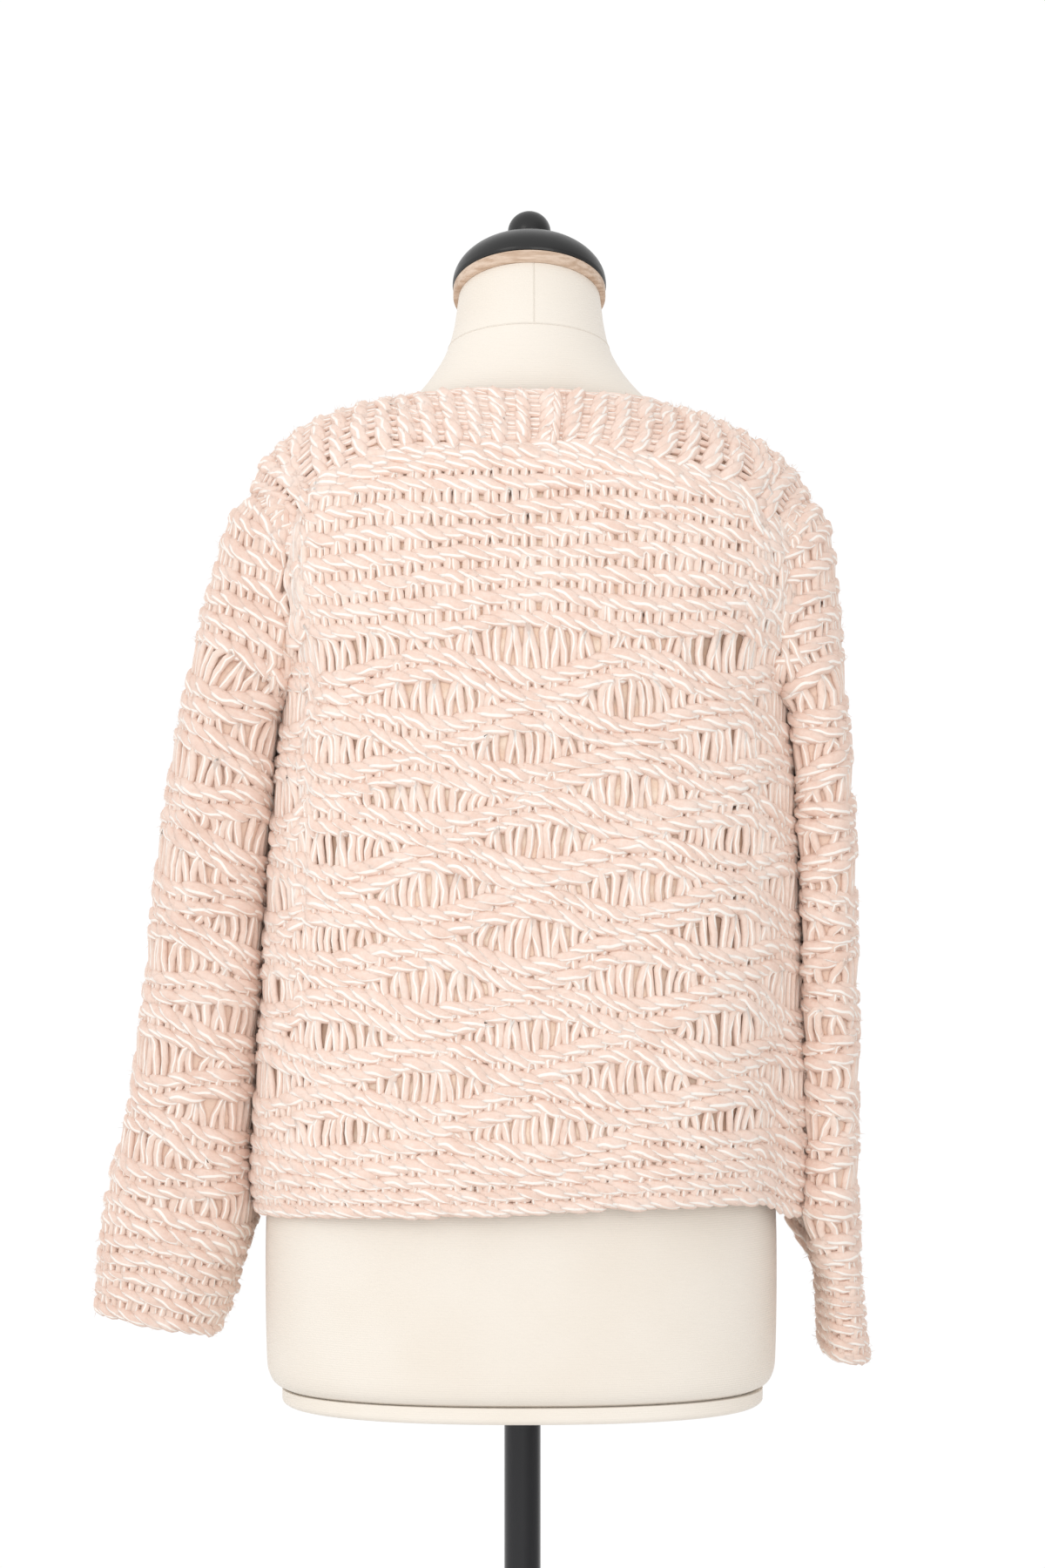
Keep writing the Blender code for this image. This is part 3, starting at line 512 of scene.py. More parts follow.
def sleeve_grid(rows):
    """Fine grid of a sleeve's inner face in nearly level sections, evenly spaced round each.

    Below the underarm a section is an oval. Over the cap it is the outer half of one, from the
    back of the armhole round to its front, and its other half lies in the armhole. Where the
    sleeve hangs beside the body its near side rests against it: X moves with the body's own
    rounding, 1 - (1 - |y / depth| ** n) ** (1 / n).
    """
    run = distances(np.stack([rows["outer_x"], rows["outer_z"]], axis=1))
    at = np.linspace(0, run[-1], FINE_PANEL_ROWS)
    far_x, far_z, ring_z, ring_x, depth, middle_y = [
        smooth({"run": run, **rows}, key, "run", at)
        for key in ("outer_x", "outer_z", "inner_z", "inner_x", "depth", "middle_y")]
    side = np.sign(far_x[0])
    near_z = np.maximum(ring_z, far_z - SLEEVE_ROW_DROP)
    order = np.argsort(ring_z)
    near_x = np.interp(near_z, ring_z[order], ring_x[order])
    beside = (np.clip((near_z - CONTACT_FOOT) / CONTACT_FOOT_FADE, 0, 1)
              * np.clip((CONTACT_TOP - near_z) / CONTACT_TOP_FADE, 0, 1))
    body_z = np.clip(near_z, 0.85, 1.22)
    near_x = near_x + (side_of_body(side, body_z) - near_x) * beside
    cap = np.clip((near_z - CAP_FOOT) / CAP_FADE, 0, 1)
    cap = cap * cap * (3 - 2 * cap)
    near_x = near_x * (1 - cap) + sleeve_seam_x(side) * cap
    far = np.stack([far_x, 0 * far_x, far_z], axis=-1)
    near = np.stack([near_x, 0 * far_x, near_z], axis=-1)
    direction = unit(far - near)
    flare = CAP_FLARE * np.exp(-(at / CAP_REACH) ** 2)
    far = far - direction * (WALL + RIDGE - flare)[:, None]
    near = near + direction * ((WALL + RIDGE) * (1 - cap))[:, None]
    width = np.linalg.norm(far - near, axis=-1)
    outer_share = 0.5 + 0.5 * cap
    middle = near + direction * (width * (1 - outer_share))[:, None]
    middle[:, 1] = middle_y
    depth = depth - WALL - RIDGE + flare
    top = np.clip(armhole_reach(np.maximum(near_z, ARMHOLE_MIDDLE)) / ARMHOLE_HALF_DEPTH, 0.05, 1)
    depth = (depth * (1 - cap) + depth * top * cap)[:, None]
    outside = (width * outer_share)[:, None]
    inside = (width * (1 - outer_share))[:, None]
    squareness = (SLEEVE_ROUNDNESS + (CAP_SQUARENESS - SLEEVE_ROUNDNESS) * cap)[:, None]
    body_width, body_depth, body_squareness = [
        smooth(BODY, key, "height", body_z)[:, None]
        for key in ("half_width", "back", "squareness")]
    beside = beside[:, None]

    def section(share):
        """Points at shares of the way round every section."""
        angle = 2 * math.pi * share
        far_side, y = superellipse(angle, 1.0, depth, squareness)
        near_side, _ = superellipse(angle, 1.0, depth, np.maximum(squareness, NEAR_SQUARENESS))
        x = np.where(far_side > 0, far_side * outside, near_side * inside)
        point = middle[:, None] + direction[:, None] * x[..., None]
        point[..., 1] += y
        full = 1 - np.clip(np.abs(point[..., 1]) / body_depth, 0, 1) ** body_squareness
        rounding = 1 - full ** (1 / body_squareness)
        point[..., 0] += side * body_width * rounding * np.clip(near_side, -1, 0) * beside
        return point

    even = np.linspace(0, 1, FINE_SLEEVE_COLUMNS)
    first = section(np.broadcast_to(even, (FINE_PANEL_ROWS, FINE_SLEEVE_COLUMNS)))
    return section(spaced_evenly(first, even)), middle[:, None]


def cloth(grid, normal, stitches, length, **more):
    """A knitted surface: its inner face, the way out of it, its length and its stitches.

    rows holds, for each place of a row and each column, the distance down the cloth at which the
    row lies there. cut tells which points are left out, first is where rows may begin and start
    where legs may, closed says that it is a tube, and turned which way its loops lean.
    """
    return {
        "grid": grid, "normal": unit(normal), "length": length, "stitches": stitches,
        "rows": None, "closed": False, "cut": None, "first": -1.0, "start": -1.0, "turned": 1,
        **more}


def row_places(length):
    """The places of rows for which their course over a cloth is worked out."""
    return np.linspace(-ROW_MARGIN, length + ROW_MARGIN, ROW_LEVELS)[:, None]


def panel_rows(seam, hem, length):
    """Rows of a body panel: level below its curved seam, and along the hem at its foot.

    The first rows bend partly with the seam, by a share that fades as exp(-place / reach).
    """
    level = seam.max()
    place = row_places(length)
    height = level + (hem - level) * place / length
    share = SEAM_FOLLOW * np.exp(-np.clip(place, 0, None) / SEAM_FOLLOW_REACH)
    return (1 - share) * (seam - height) / (seam - hem) * length + share * place


def row_distance(piece, along, place):
    """Distance down a cloth at which a row lies, at a share along it."""
    if piece["rows"] is None:
        return place + 0 * along
    rows = piece["rows"]
    if piece["closed"]:
        along = np.mod(along, 1)
    along, place = np.broadcast_arrays(along, place)
    row = (place + ROW_MARGIN) / (piece["length"] + 2 * ROW_MARGIN) * (ROW_LEVELS - 1)
    return sample(rows[..., None], row, along * (rows.shape[1] - 1))[..., 0]


def unevenness(piece, along, down):
    """How far hand-knitted rows stray down the cloth: a sum of slow waves, none at the edges."""
    if piece["cut"] is None:
        return 0 * down
    share = down / piece["length"]
    total = 0 * along * down
    for cycles, falls, phase, size in zip(*UNEVEN.values()):
        total = total + size * np.sin(2 * math.pi * (cycles * along + falls * share) + phase)
    return total * np.clip(np.minimum(down, piece["length"] - down) / EDGE_FADE, 0, 1)


def on_cloth(piece, along, down, lift):
    """Points at a share along a cloth and a distance down it, lifted off its inner face."""
    if piece["closed"]:
        along = np.mod(along, 1)
    down = down + unevenness(piece, along, down)
    row = down / piece["length"] * (piece["grid"].shape[0] - 1)
    column = along * (piece["grid"].shape[1] - 1)
    out = unit(sample(piece["normal"], row, column))
    point = sample(piece["grid"], row, column)
    beyond = np.clip(down - piece["length"], 0, None) + np.clip(down, None, 0)
    fall = unit(sample(np.gradient(piece["grid"], axis=0), row, column))
    return point + out * lift[..., None] + fall * beyond[..., None], out


def join(parts):
    """One set of points, faces and UV corners from several."""
    points, faces, corners = zip(*parts)
    starts = np.cumsum([0] + [len(part) for part in points[:-1]])
    faces = [part + start for part, start in zip(faces, starts)]
    return np.concatenate(points), np.concatenate(faces), np.concatenate(corners)


def weld(mesh):
    """Joins the points of a turned shape that share a place, as those at its poles do."""
    solid = bmesh.new()
    solid.from_mesh(mesh)
    bmesh.ops.remove_doubles(solid, verts=solid.verts, dist=0.000001)
    solid.to_mesh(mesh)
    solid.free()


def link_new(name, data):
    """A new object with the given data, in the scene."""
    item = bpy.data.objects.new(name, data)
    bpy.context.scene.collection.objects.link(item)
    return item


def mesh_piece(name, shape, material, sharp=None):
    """An object from points (n, 3), faces (f, 3) or (f, 4) and their UV corners."""
    points, faces, corners = shape
    mesh = bpy.data.meshes.new(name)
    mesh.vertices.add(len(points))
    mesh.vertices.foreach_set("co", points.astype(np.float32).ravel())
    mesh.loops.add(faces.size)
    mesh.loops.foreach_set("vertex_index", faces.astype(np.int32).ravel())
    mesh.polygons.add(len(faces))
    starts = np.arange(0, faces.size, faces.shape[1], dtype=np.int32)
    mesh.polygons.foreach_set("loop_start", starts)
    mesh.uv_layers.new(name="UVMap").data.foreach_set("uv", corners.astype(np.float32).ravel())
    mesh.update(calc_edges=True)
    mesh.validate()
    if sharp:
        weld(mesh)
    mesh.shade_smooth()
    if sharp:
        mesh.set_sharp_from_angle(angle=math.radians(sharp))
    mesh.materials.append(material)
    item = link_new(name, mesh)
    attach(item, "root")
    return item


def lattice(points, u, v, round_u=False):
    """Faces and UV corners of a grid of points (rows, columns, 3); round_u joins its two sides."""
    rows, columns = points.shape[:2]
    i, j = np.indices((rows - 1, columns if round_u else columns - 1))
    down = np.stack([i, i + 1, i + 1, i], axis=-1)
    across = np.stack([j, j, j + 1, j + 1], axis=-1)
    faces = down * columns + across % columns
    corners = np.stack([u[across], v[down]], axis=-1)
    return points.reshape(-1, 3), faces.reshape(-1, 4), corners.reshape(-1, 4, 2)


def tubes(paths, out, radius, flat, sides, shift):
    """Tubes along many paths at once, closed at both ends, in triangles.

    A point is path + radius * (cos(a) * across + flat * sin(a) * up), where up is the part of
    the outward direction square to the path. U runs round the tube and V along it in metres.
    """
    count, steps = paths.shape[:2]
    tangent = unit(np.gradient(paths, axis=1))
    across = unit(np.cross(tangent, out))
    up = np.cross(across, tangent)
    angle = 2 * math.pi * np.arange(sides) / sides
    wide = (radius[..., None] * np.cos(angle))[..., None]
    tall = (radius[..., None] * flat * np.sin(angle))[..., None]
    points = paths[:, :, None] + across[:, :, None] * wide + up[:, :, None] * tall
    run = distances(paths, 1) + shift[:, None]
    n, i, j = np.indices((count, steps - 1, sides))[..., None, None]
    ring = i + np.array([(0, 1, 0), (0, 1, 1)])
    turn = j + np.array([(0, 1, 1), (0, 0, 1)])
    faces = [((n * steps + ring) * sides + turn % sides).reshape(-1, 3)]
    corners = [np.stack([turn / sides, run[n, ring]], axis=-1).reshape(-1, 3, 2)]
    last = np.arange(2, sides)
    fan = np.stack([0 * last, last - 1, last], axis=-1)
    for ring, cap in ((0, fan), (steps - 1, fan[:, ::-1])):
        start = (np.arange(count) * steps + ring)[:, None, None] * sides
        faces.append((start + cap).reshape(-1, 3))
        height = np.broadcast_to(run[:, ring, None, None], (count, *cap.shape))
        turn = np.broadcast_to(cap / sides, height.shape)
        corners.append(np.stack([turn, height], axis=-1).reshape(-1, 3, 2))
    return points.reshape(-1, 3), np.concatenate(faces), np.concatenate(corners)


def yarn_tubes(piece, paths, out, girth, flat, sides, rng):
    """Tubes of yarn on a cloth, without those that lie in an armhole."""
    shift = 10 * rng.random(len(paths))
    if piece["cut"]:
        keep = ~piece["cut"](paths[:, paths.shape[1] // 2])
        paths, out, girth, shift = paths[keep], out[keep], girth[keep], shift[keep]
    return tubes(paths, out, girth, flat, sides, shift)


def tapered(radius, steps, ends):
    """Radius along a tube, narrowing toward both ends."""
    t = np.linspace(-1, 1, steps)
    return radius[:, None] * (1 - (1 - ends) * np.abs(t) ** 4)


def knit_lines(length, top_ridges, lens_rows, pitch):
    """The garter ridges down a cloth: distance, swing of the wave, and the kind of gap above.

    Plain ridges come first, then pairs of ridges, a pitch apart, with a row of lenses above each
    pair, and last the plain ridges of the hem, evenly over what is left.
    """
    place, swing, gap = [], [], []
    at = PLAIN_PITCH / 2
    for n in range(top_ridges):
        place.append(at)
        swing.append(-LENS_SWING * max(0, n - top_ridges + 3) * EARLY_SWING)
        gap.append(0)
        at += PLAIN_PITCH
    middle = at - PLAIN_PITCH / 2 + pitch / 4
    for k in range(lens_rows):
        sign = -1 if k % 2 else 1
        if k == lens_rows - 1:
            sign *= LAST_SWING
        place += [middle + pitch / 2 - PAIR_SPREAD / 2, middle + pitch / 2 + PAIR_SPREAD / 2]
        swing += [LENS_SWING * sign] * 2
        gap += [2, 1]
        middle += pitch
    waved = len(place)
    rest = length - HEM_INSET - place[-1]
    count = max(1, round(rest / HEM_PITCH))
    place += [place[-1] + rest * n / count for n in range(1, count + 1)]
    swing += [0] * count
    gap += [0] * count
    hem = np.arange(len(place)) >= waved
    return {"place": np.array(place), "swing": np.array(swing), "gap": np.array(gap), "hem": hem}


def wave_at(piece, along, place):
    """The wave of the dropped stitches along a row, about +1 at the middle of a panel.

    From row to row it grows, shrinks and shifts a little.
    """
    turns = piece["stitches"] / STITCHES_A_WAVE
    shift = 0.0
    if piece["closed"]:
        turns = round(turns)
        shift = SLEEVE_WAVE_SHIFT
    turn = (along - 0.5) * turns + shift + 0.035 * np.sin(62 * place)
    size = 1 + 0.20 * np.sin(4 * math.pi * along + 75 * place)
    return np.cos(2 * math.pi * turn) * size


def stitch_places(piece, place, first):
    """The row and the stitch of every loop that lies further down than first."""
    row, stitch = np.indices((len(place), piece["stitches"])).reshape(2, -1, 1)
    keep = row_distance(piece, (stitch + 0.5) / piece["stitches"], place[row])[:, 0] > first
    return row[keep], stitch[keep]


def varied(rng, count, size):
    """Random numbers about 0, one for each of count tubes, spread by the given size."""
    return size * rng.standard_normal((count, 1))


def ridge_tubes(piece, place, swing, rng, rise=0.0034, radius=0.0047, low=0.0014, high=0.0052,
                turned=1, level=True):
    """Loops of garter ridges.

    Each loop runs from the upper left to the lower right of its ridge, overlapping its
    neighbours as the strands of a rope do: rise * cos(pi t) across the ridge, and from low up to
    high above the cloth's inner face as sin(pi t) ** 0.8. Level rows keep to the cloth's rows,
    the others to the plain distance down it.
    """
    ridge, stitch = stitch_places(piece, place, piece["first"] if level else -1.0)
    count = len(ridge)
    t = np.linspace(0, 1, LOOP_STEPS)[None]
    size = 1 + varied(rng, count, 0.09)
    x = (t - 0.5) * 2 * LOOP_HALF_LENGTH * (1 + varied(rng, count, 0.06))
    x = x + varied(rng, count, 0.07)
    along = (stitch + 0.5 + turned * piece["turned"] * x) / piece["stitches"]
    across = rise * np.cos(math.pi * t) * (1 + varied(rng, count, 0.12))
    across = across + varied(rng, count, 0.0004)
    row = row_distance(piece, along, place[ridge]) if level else place[ridge]
    down = row + swing[ridge] * wave_at(piece, along, place[ridge]) - across
    lift = low + (high - low) * np.sin(math.pi * t) ** 0.8 + varied(rng, count, 0.0004)
    paths, out = on_cloth(piece, along, down, lift)
    girth = tapered(radius * size[:, 0], LOOP_STEPS, 0.6)
    return yarn_tubes(piece, paths, out, girth, LOOP_FLATNESS, 6, rng)


def leg_tubes(
        piece, upper, lower, upper_swing, lower_swing, rng, steps, sides, radius, curl=0.05):
    """Arched loops between two ridges: two legs that meet in a round arch under the upper ridge.

    Sideways by LEG_SPREAD of a stitch times -|cos(pi t)| ** 0.4 with the sign of the cosine, and
    up by the height times 1 - |cos(pi t)| ** 3. curl makes the legs wave and lean.
    """
    gap, stitch = stitch_places(piece, lower, piece["first"])
    count = len(gap)
    t = np.linspace(0, 1, steps)[None]
    swing = np.cos(math.pi * t)
    lean = varied(rng, count, curl)
    spread = LEG_SPREAD * (1 + varied(rng, count, 0.10))
    x = -spread * np.sign(swing) * np.abs(swing) ** 0.4 + lean * (1 - np.abs(swing))
    turn = 2 * math.pi * rng.random((count, 1))
    x = x + curl * np.sin(3.2 * math.pi * t + turn) * np.sin(math.pi * t)
    along = (stitch + 0.5 + x + varied(rng, count, 0.03)) / piece["stitches"]
    above = upper_swing[gap] * wave_at(piece, along, upper[gap])
    below = lower_swing[gap] * wave_at(piece, along, lower[gap])
    top = row_distance(piece, along, upper[gap]) + above + LEG_TOP
    top = np.maximum(top, piece["start"])
    bottom = row_distance(piece, along, lower[gap]) + below - LEG_FOOT
    down = bottom + (top - bottom) * (1 - np.abs(swing) ** 3)
    height = np.clip((bottom - top) / FULL_LEG, 0, 1)
    bulge = LEG_BULGE * height * (1 + varied(rng, count, 1)) * np.sin(math.pi * t) ** 2
    lift = LEG_LIFT + LEG_ARCH * np.sin(2 * math.pi * t) ** 2 + bulge
    paths, out = on_cloth(piece, along, down, lift)
    girth = tapered(radius * (1 + varied(rng, count, 0.07)[:, 0]), steps, 0.8)
    return yarn_tubes(piece, paths, out, girth, LEG_FLATNESS, sides, rng)


def nap(piece, along, down, lift, length, angle, rise, rng):
    """Loose fibres of the wool: slim three-sided spikes that grow thinner to a point.

    Each leans by the angle from the way along the cloth, and rises off it by the rise.
    """
    count = len(along)
    foot, out = on_cloth(piece, along, down, lift)
    ahead, _ = on_cloth(piece, along + 0.004, down, lift)
    level = unit(ahead - foot)
    fall = unit(np.cross(level, out))
    way = level * np.cos(angle)[:, None] + fall * np.sin(angle)[:, None]
    way = unit(way * np.cos(rise)[:, None] + out * np.sin(rise)[:, None])
    first = unit(np.cross(way, out + 0.3 * level))
    second = np.cross(way, first)
    turn = 2 * math.pi * np.arange(3) / 3
    ring = first[:, None] * np.cos(turn)[:, None] + second[:, None] * np.sin(turn)[:, None]
    base = foot[:, None] + ring * NAP_RADIUS
    tip = foot + way * length[:, None]
    points = np.concatenate([base, tip[:, None]], axis=1).reshape(-1, 3)
    spike = np.array([(0, 1, 3), (1, 2, 3), (2, 0, 3), (0, 2, 1)])
    faces = (4 * np.arange(count)[:, None, None] + spike).reshape(-1, 3)
    corners = np.empty((len(faces), 3, 2))
    corners[..., 0] = OFF_THREAD
    corners[..., 1] = np.repeat(10 * rng.random(count), 4)[:, None]
    return points, faces, corners


def ridge_nap(piece, lines, count, rng):
    """Fibres that stand off the ridges of a cloth, at random."""
    row = rng.integers(0, len(lines["place"]), count)
    along = rng.random(count)
    place = lines["place"][row]
    lie = row_distance(piece, along, place)
    down = lie + lines["swing"][row] * wave_at(piece, along, place)
    down = down + NAP_SCATTER * rng.standard_normal(count)
    keep = lie > piece["first"]
    if piece["cut"]:
        keep &= ~piece["cut"](on_cloth(piece, along, down, 0 * down)[0])
    along = along[keep]
    down = down[keep]
    count = len(along)
    lift = NAP_LIFT + 0.0016 * rng.random(count)
    length = NAP_LENGTH + 0.0045 * rng.random(count) ** 2
    angle = rng.choice((0, math.pi), count) + 0.7 * rng.standard_normal(count)
    rise = 0.15 + 0.9 * rng.random(count)
    return nap(piece, along, down, lift, length, angle, rise, rng)


def seam_locks(piece, rng):
    """Brushed locks of wool that lie along the armhole seam, on a sleeve or on a body panel.

    Each is a soft tube that follows the seam, with a slow bend of cos(pi t) across it.
    """
    along = rng.random(ARMHOLE_LOCKS * 10)
    down = LOCK_DEPTH * rng.random(ARMHOLE_LOCKS * 10)
    spot = on_cloth(piece, along, down, 0 * down)[0]
    if piece["closed"]:
        seam = np.abs(sleeve_seam_x(spot[:, 0]))
        beside = (np.abs(spot[:, 0]) < seam + 0.013) & (spot[:, 2] > UNDERARM - 0.02)
    else:
        beside = in_armhole(spot, -0.010) & (spot[:, 2] < LOCK_TOP)
    keep = np.flatnonzero(beside & ~piece["cut"](spot))[:ARMHOLE_LOCKS]
    count = len(keep)
    t = np.linspace(-0.5, 0.5, LOCK_STEPS)[None]
    length = (0.020 + 0.012 * rng.random(count))[:, None]
    lean = varied(rng, count, 0.25)
    bend = varied(rng, count, 0.0035) * np.cos(math.pi * t)
    width = length_of(piece["grid"][20])
    x = along[keep][:, None] + (length * t * np.sin(lean) + bend) / width
    y = down[keep][:, None] + length * t * np.cos(lean)
    lift = 0.0030 + 0.0022 * rng.random((count, 1)) + 0.0020 * np.cos(math.pi * t)
    paths, out = on_cloth(piece, x, y, lift)
    girth = tapered(LOCK_RADIUS * (1 + varied(rng, count, 0.2)[:, 0]), LOCK_STEPS, 0.35)
    return tubes(paths, out, girth, 0.7, 6, 10 * rng.random(count))


def knit(piece, lines, rng, edge_rows):
    """Shapes of a whole knitted cloth: its ridge loops, and the legs between the ridges.

    edge_rows are ridges that follow the edges.
    """
    place, swing, hem = lines["place"], lines["swing"], lines["hem"]
    edge_rows = np.array(edge_rows)
    ridges = join([
        ridge_tubes(piece, place[~hem], swing[~hem], rng),
        ridge_tubes(piece, place[hem], swing[hem], rng, rise=0.0025, radius=0.0041),
        ridge_tubes(piece, edge_rows, 0 * edge_rows, rng, level=False, high=0.0050)])
    legs = []
    upper = np.concatenate([[-OVERHANG], place[:-1]])
    upper_swing = np.concatenate([[0], swing[:-1]])
    for kind, steps, sides, radius, curl in (
            (0, 7, 5, 0.0036, 0.03), (1, 7, 5, 0.0036, 0.03), (2, 11, 6, 0.0033, 0.24)):
        pick = np.flatnonzero(lines["gap"] == kind)
        legs.append(leg_tubes(
            piece, upper[pick], place[pick], upper_swing[pick], swing[pick], rng, steps, sides,
            radius, curl))
    return ridges, join(legs)


def fill(node, values):
    """Sets a node's inputs by name: a socket is linked, anything else is a plain value."""
    for name, value in values.items():
        if isinstance(value, bpy.types.NodeSocket):
            node.id_data.links.new(value, node.inputs[name])
        else:
            node.inputs[name].default_value = value
    return node


def add(tree, kind, values=None, **settings):
    """A node of a kind, with its settings and inputs."""
    node = tree.nodes.new("ShaderNode" + kind)
    for name, value in settings.items():
        setattr(node, name, value)
    return fill(node, values or {})


def maths(tree, operation, first, second=0.0):
    """A Math node's result, from two sockets or numbers."""
    return add(tree, "Math", {0: first, 1: second}, operation=operation).outputs[0]


def times(tree, first, second):
    """The product of two sockets or numbers."""
    return maths(tree, "MULTIPLY", first, second)


def plus(tree, first, second):
    """The sum of two sockets or numbers."""
    return maths(tree, "ADD", first, second)


def ranged(tree, value, low, high, to_low=0.0, to_high=1.0):
    """A smooth step of a value from one range to another."""
    node = add(tree, "MapRange", {
        "Value": value, "From Min": low, "From Max": high, "To Min": to_low, "To Max": to_high},
        interpolation_type="SMOOTHSTEP")
    return node.outputs["Result"]


def mixed(tree, share, first, second):
    """A colour between two others."""
    first, second = [
        value if isinstance(value, bpy.types.NodeSocket) else (*value, 1)
        for value in (first, second)]
    return add(tree, "Mix", {0: share, 6: first, 7: second}, data_type="RGBA").outputs[2]


def noise(tree, vector, scale, detail=2.0, roughness=0.5):
    """Noise from 0 to 1 at a vector."""
    return add(tree, "TexNoise", {
        "Vector": vector, "Scale": scale, "Detail": detail, "Roughness": roughness}).outputs["Fac"]


def on_piece(tree):
    """The place on a piece, in Object coordinates."""
    return add(tree, "TexCoord").outputs["Object"]


def separated(tree, vector):
    """X, Y and Z of a vector."""
    return add(tree, "SeparateXYZ", {"Vector": vector}).outputs


def along_yarn(tree):
    """A piece's own UV: X round a tube or across a cloth, Y along it in metres."""
    return separated(tree, add(tree, "UVMap", uv_map="UVMap").outputs["UV"])


def new_group(name, inputs, outputs):
    """An empty node group with its sockets, given as (name, type) pairs."""
    tree = bpy.data.node_groups.new(name, "ShaderNodeTree")
    for kind, sockets in (("INPUT", inputs), ("OUTPUT", outputs)):
        for label, socket in sockets:
            tree.interface.new_socket(name=label, in_out=kind, socket_type="NodeSocket" + socket)
    return tree, tree.nodes.new("NodeGroupInput").outputs, tree.nodes.new("NodeGroupOutput")


def yarn_group():
    """Fuzzy wool with a thin thread plied along it: colour, thread mask and height."""
    tree, given, result = new_group(
        "Plied wool", [("Light", "Color"), ("Deep", "Color"), ("Thread", "Color")],
        [("Colour", "Color"), ("Thread mask", "Float"), ("Height", "Float")])
    spot = on_piece(tree)
    uv = along_yarn(tree)
    wander = add(
        tree, "TexNoise", {"W": uv["Y"], "Scale": 45.0, "Detail": 1.0}, noise_dimensions="1D")
    drift = times(tree, maths(tree, "SUBTRACT", wander.outputs["Fac"], 0.5), 0.30)
    place = maths(tree, "FRACT", plus(tree, plus(tree, uv["X"], 0.310), drift))
    off = maths(tree, "ABSOLUTE", maths(tree, "SUBTRACT", place, 0.5))
    thread = ranged(tree, off, 0.022, 0.042, 1.0, 0.0)
    along = add(tree, "CombineXYZ", {
        "X": times(tree, uv["X"], 9.0), "Y": times(tree, uv["Y"], 300.0), "Z": 0.0})
    fibres = noise(tree, along.outputs["Vector"], 1.0, 3.0, 0.65)
    fuzz = noise(tree, spot, 900.0, 2.0, 0.6)
    patches = noise(tree, spot, 42.0, 2.0, 0.55)
    tone = plus(tree, times(tree, patches, 0.6), times(tree, fibres, 0.6))
    wool = mixed(tree, ranged(tree, tone, 0.30, 0.90), given["Light"], given["Deep"])
    rough = plus(tree, times(tree, fibres, 0.8), times(tree, fuzz, 0.5))
    fill(result, {
        "Colour": mixed(tree, thread, wool, given["Thread"]),
        "Thread mask": thread,
        "Height": plus(tree, rough, times(tree, thread, 0.15))})
    return tree


def principled(name, **values):
    """A material with its Principled shader, its tree, and plain values on the shader."""
    material = bpy.data.materials.new(name)
    material.use_nodes = True
    shader = material.node_tree.nodes["Principled BSDF"]
    for key, value in values.items():
        shader.inputs[key.replace("_", " ").title().replace("Ior", "IOR")].default_value = value
    return material, material.node_tree, shader


def bump(tree, shader, height, distance, strength):
    """Joins a height, in metres times distance, to the shader's normal."""
    node = add(tree, "Bump", {"Height": height, "Distance": distance, "Strength": strength})
    fill(shader, {"Normal": node.outputs["Normal"]})


def yarn_material(name, group, light, deep, thread, glow=0.25, sheen=0.3):
    """Yarn of the garment: matt wool with a soft nap, and the smoother thread on it."""
    material, tree, shader = principled(
        name, sheen_weight=sheen, sheen_roughness=0.45, sheen_tint=(1.0, 0.80, 0.68, 1),
        subsurface_weight=glow, subsurface_scale=0.002, subsurface_radius=(1.0, 1.0, 1.0))
    look = add(tree, "Group", node_tree=group)
    fill(look, {"Light": (*light, 1), "Deep": (*deep, 1), "Thread": (*thread, 1)})
    fill(shader, {
        "Base Color": look.outputs["Colour"],
        "Roughness": ranged(tree, look.outputs["Thread mask"], 0.0, 1.0, 0.90, 0.60)})
    bump(tree, shader, look.outputs["Height"], 0.0007, 0.8)
    return material


def backing_material(name, light, deep, side_shade):
    """Inside of the knit: low ribs across the cloth and stitches along it, from its own UV, with
    painted shade deeper in the rib troughs.

    Toward the sides of the body, where the cloth stands off the form, its colour turns to a
    painted shade, for the shadow in the gap behind it.
    """
    material, tree, shader = principled(name, roughness=0.9, sheen_weight=0.3)
    spot = on_piece(tree)
    uv = along_yarn(tree)
    rib = maths(tree, "SINE", times(tree, uv["Y"], 2 * math.pi / PLAIN_PITCH))
    turn = times(tree, uv["X"], 2 * math.pi)
    stitch = maths(tree, "SINE", plus(tree, turn, times(tree, rib, 0.8)))
    height = plus(tree, rib, times(tree, stitch, 0.5))
    grain = noise(tree, spot, 700.0, 3.0, 0.6)
    # painted shade: the colour is deeper where the rib height is low, mixed with random grain
    rib_shade_and_grain = plus(tree, times(tree, height, 0.25), grain)
    tone = mixed(tree, ranged(tree, rib_shade_and_grain, 0.1, 0.9), deep, light)
    # painted shade: past |X| 0.085 the colour turns to the dark side shade, for the shadow between
    # the cloth and the form
    side = ranged(tree, maths(tree, "ABSOLUTE", separated(tree, spot)["X"]), 0.085, 0.150)
    fill(shader, {"Base Color": mixed(tree, side, tone, side_shade)})
    bump(tree, shader, plus(tree, height, grain), 0.0009, 0.8)
    return material


def cover_material(name, light, deep):
    """Fine ivory jersey: close vertical ribs of tiny stitches, and a faint cloudiness."""
    material, tree, shader = principled(name, roughness=0.78, sheen_weight=0.25)
    spot = on_piece(tree)
    rows = maths(tree, "SINE", times(tree, separated(tree, spot)["Z"], 2 * math.pi / JERSEY_ROW))
    clouds = noise(tree, spot, 9.0, 2.0, 0.5)
    fill(shader, {"Base Color": mixed(tree, ranged(tree, clouds, 0.3, 0.7), light, deep)})
    grain = noise(tree, spot, 1100.0, 2.0, 0.6)
    bump(tree, shader, plus(tree, times(tree, rows, 0.3), grain), 0.00025, 0.5)
    return material


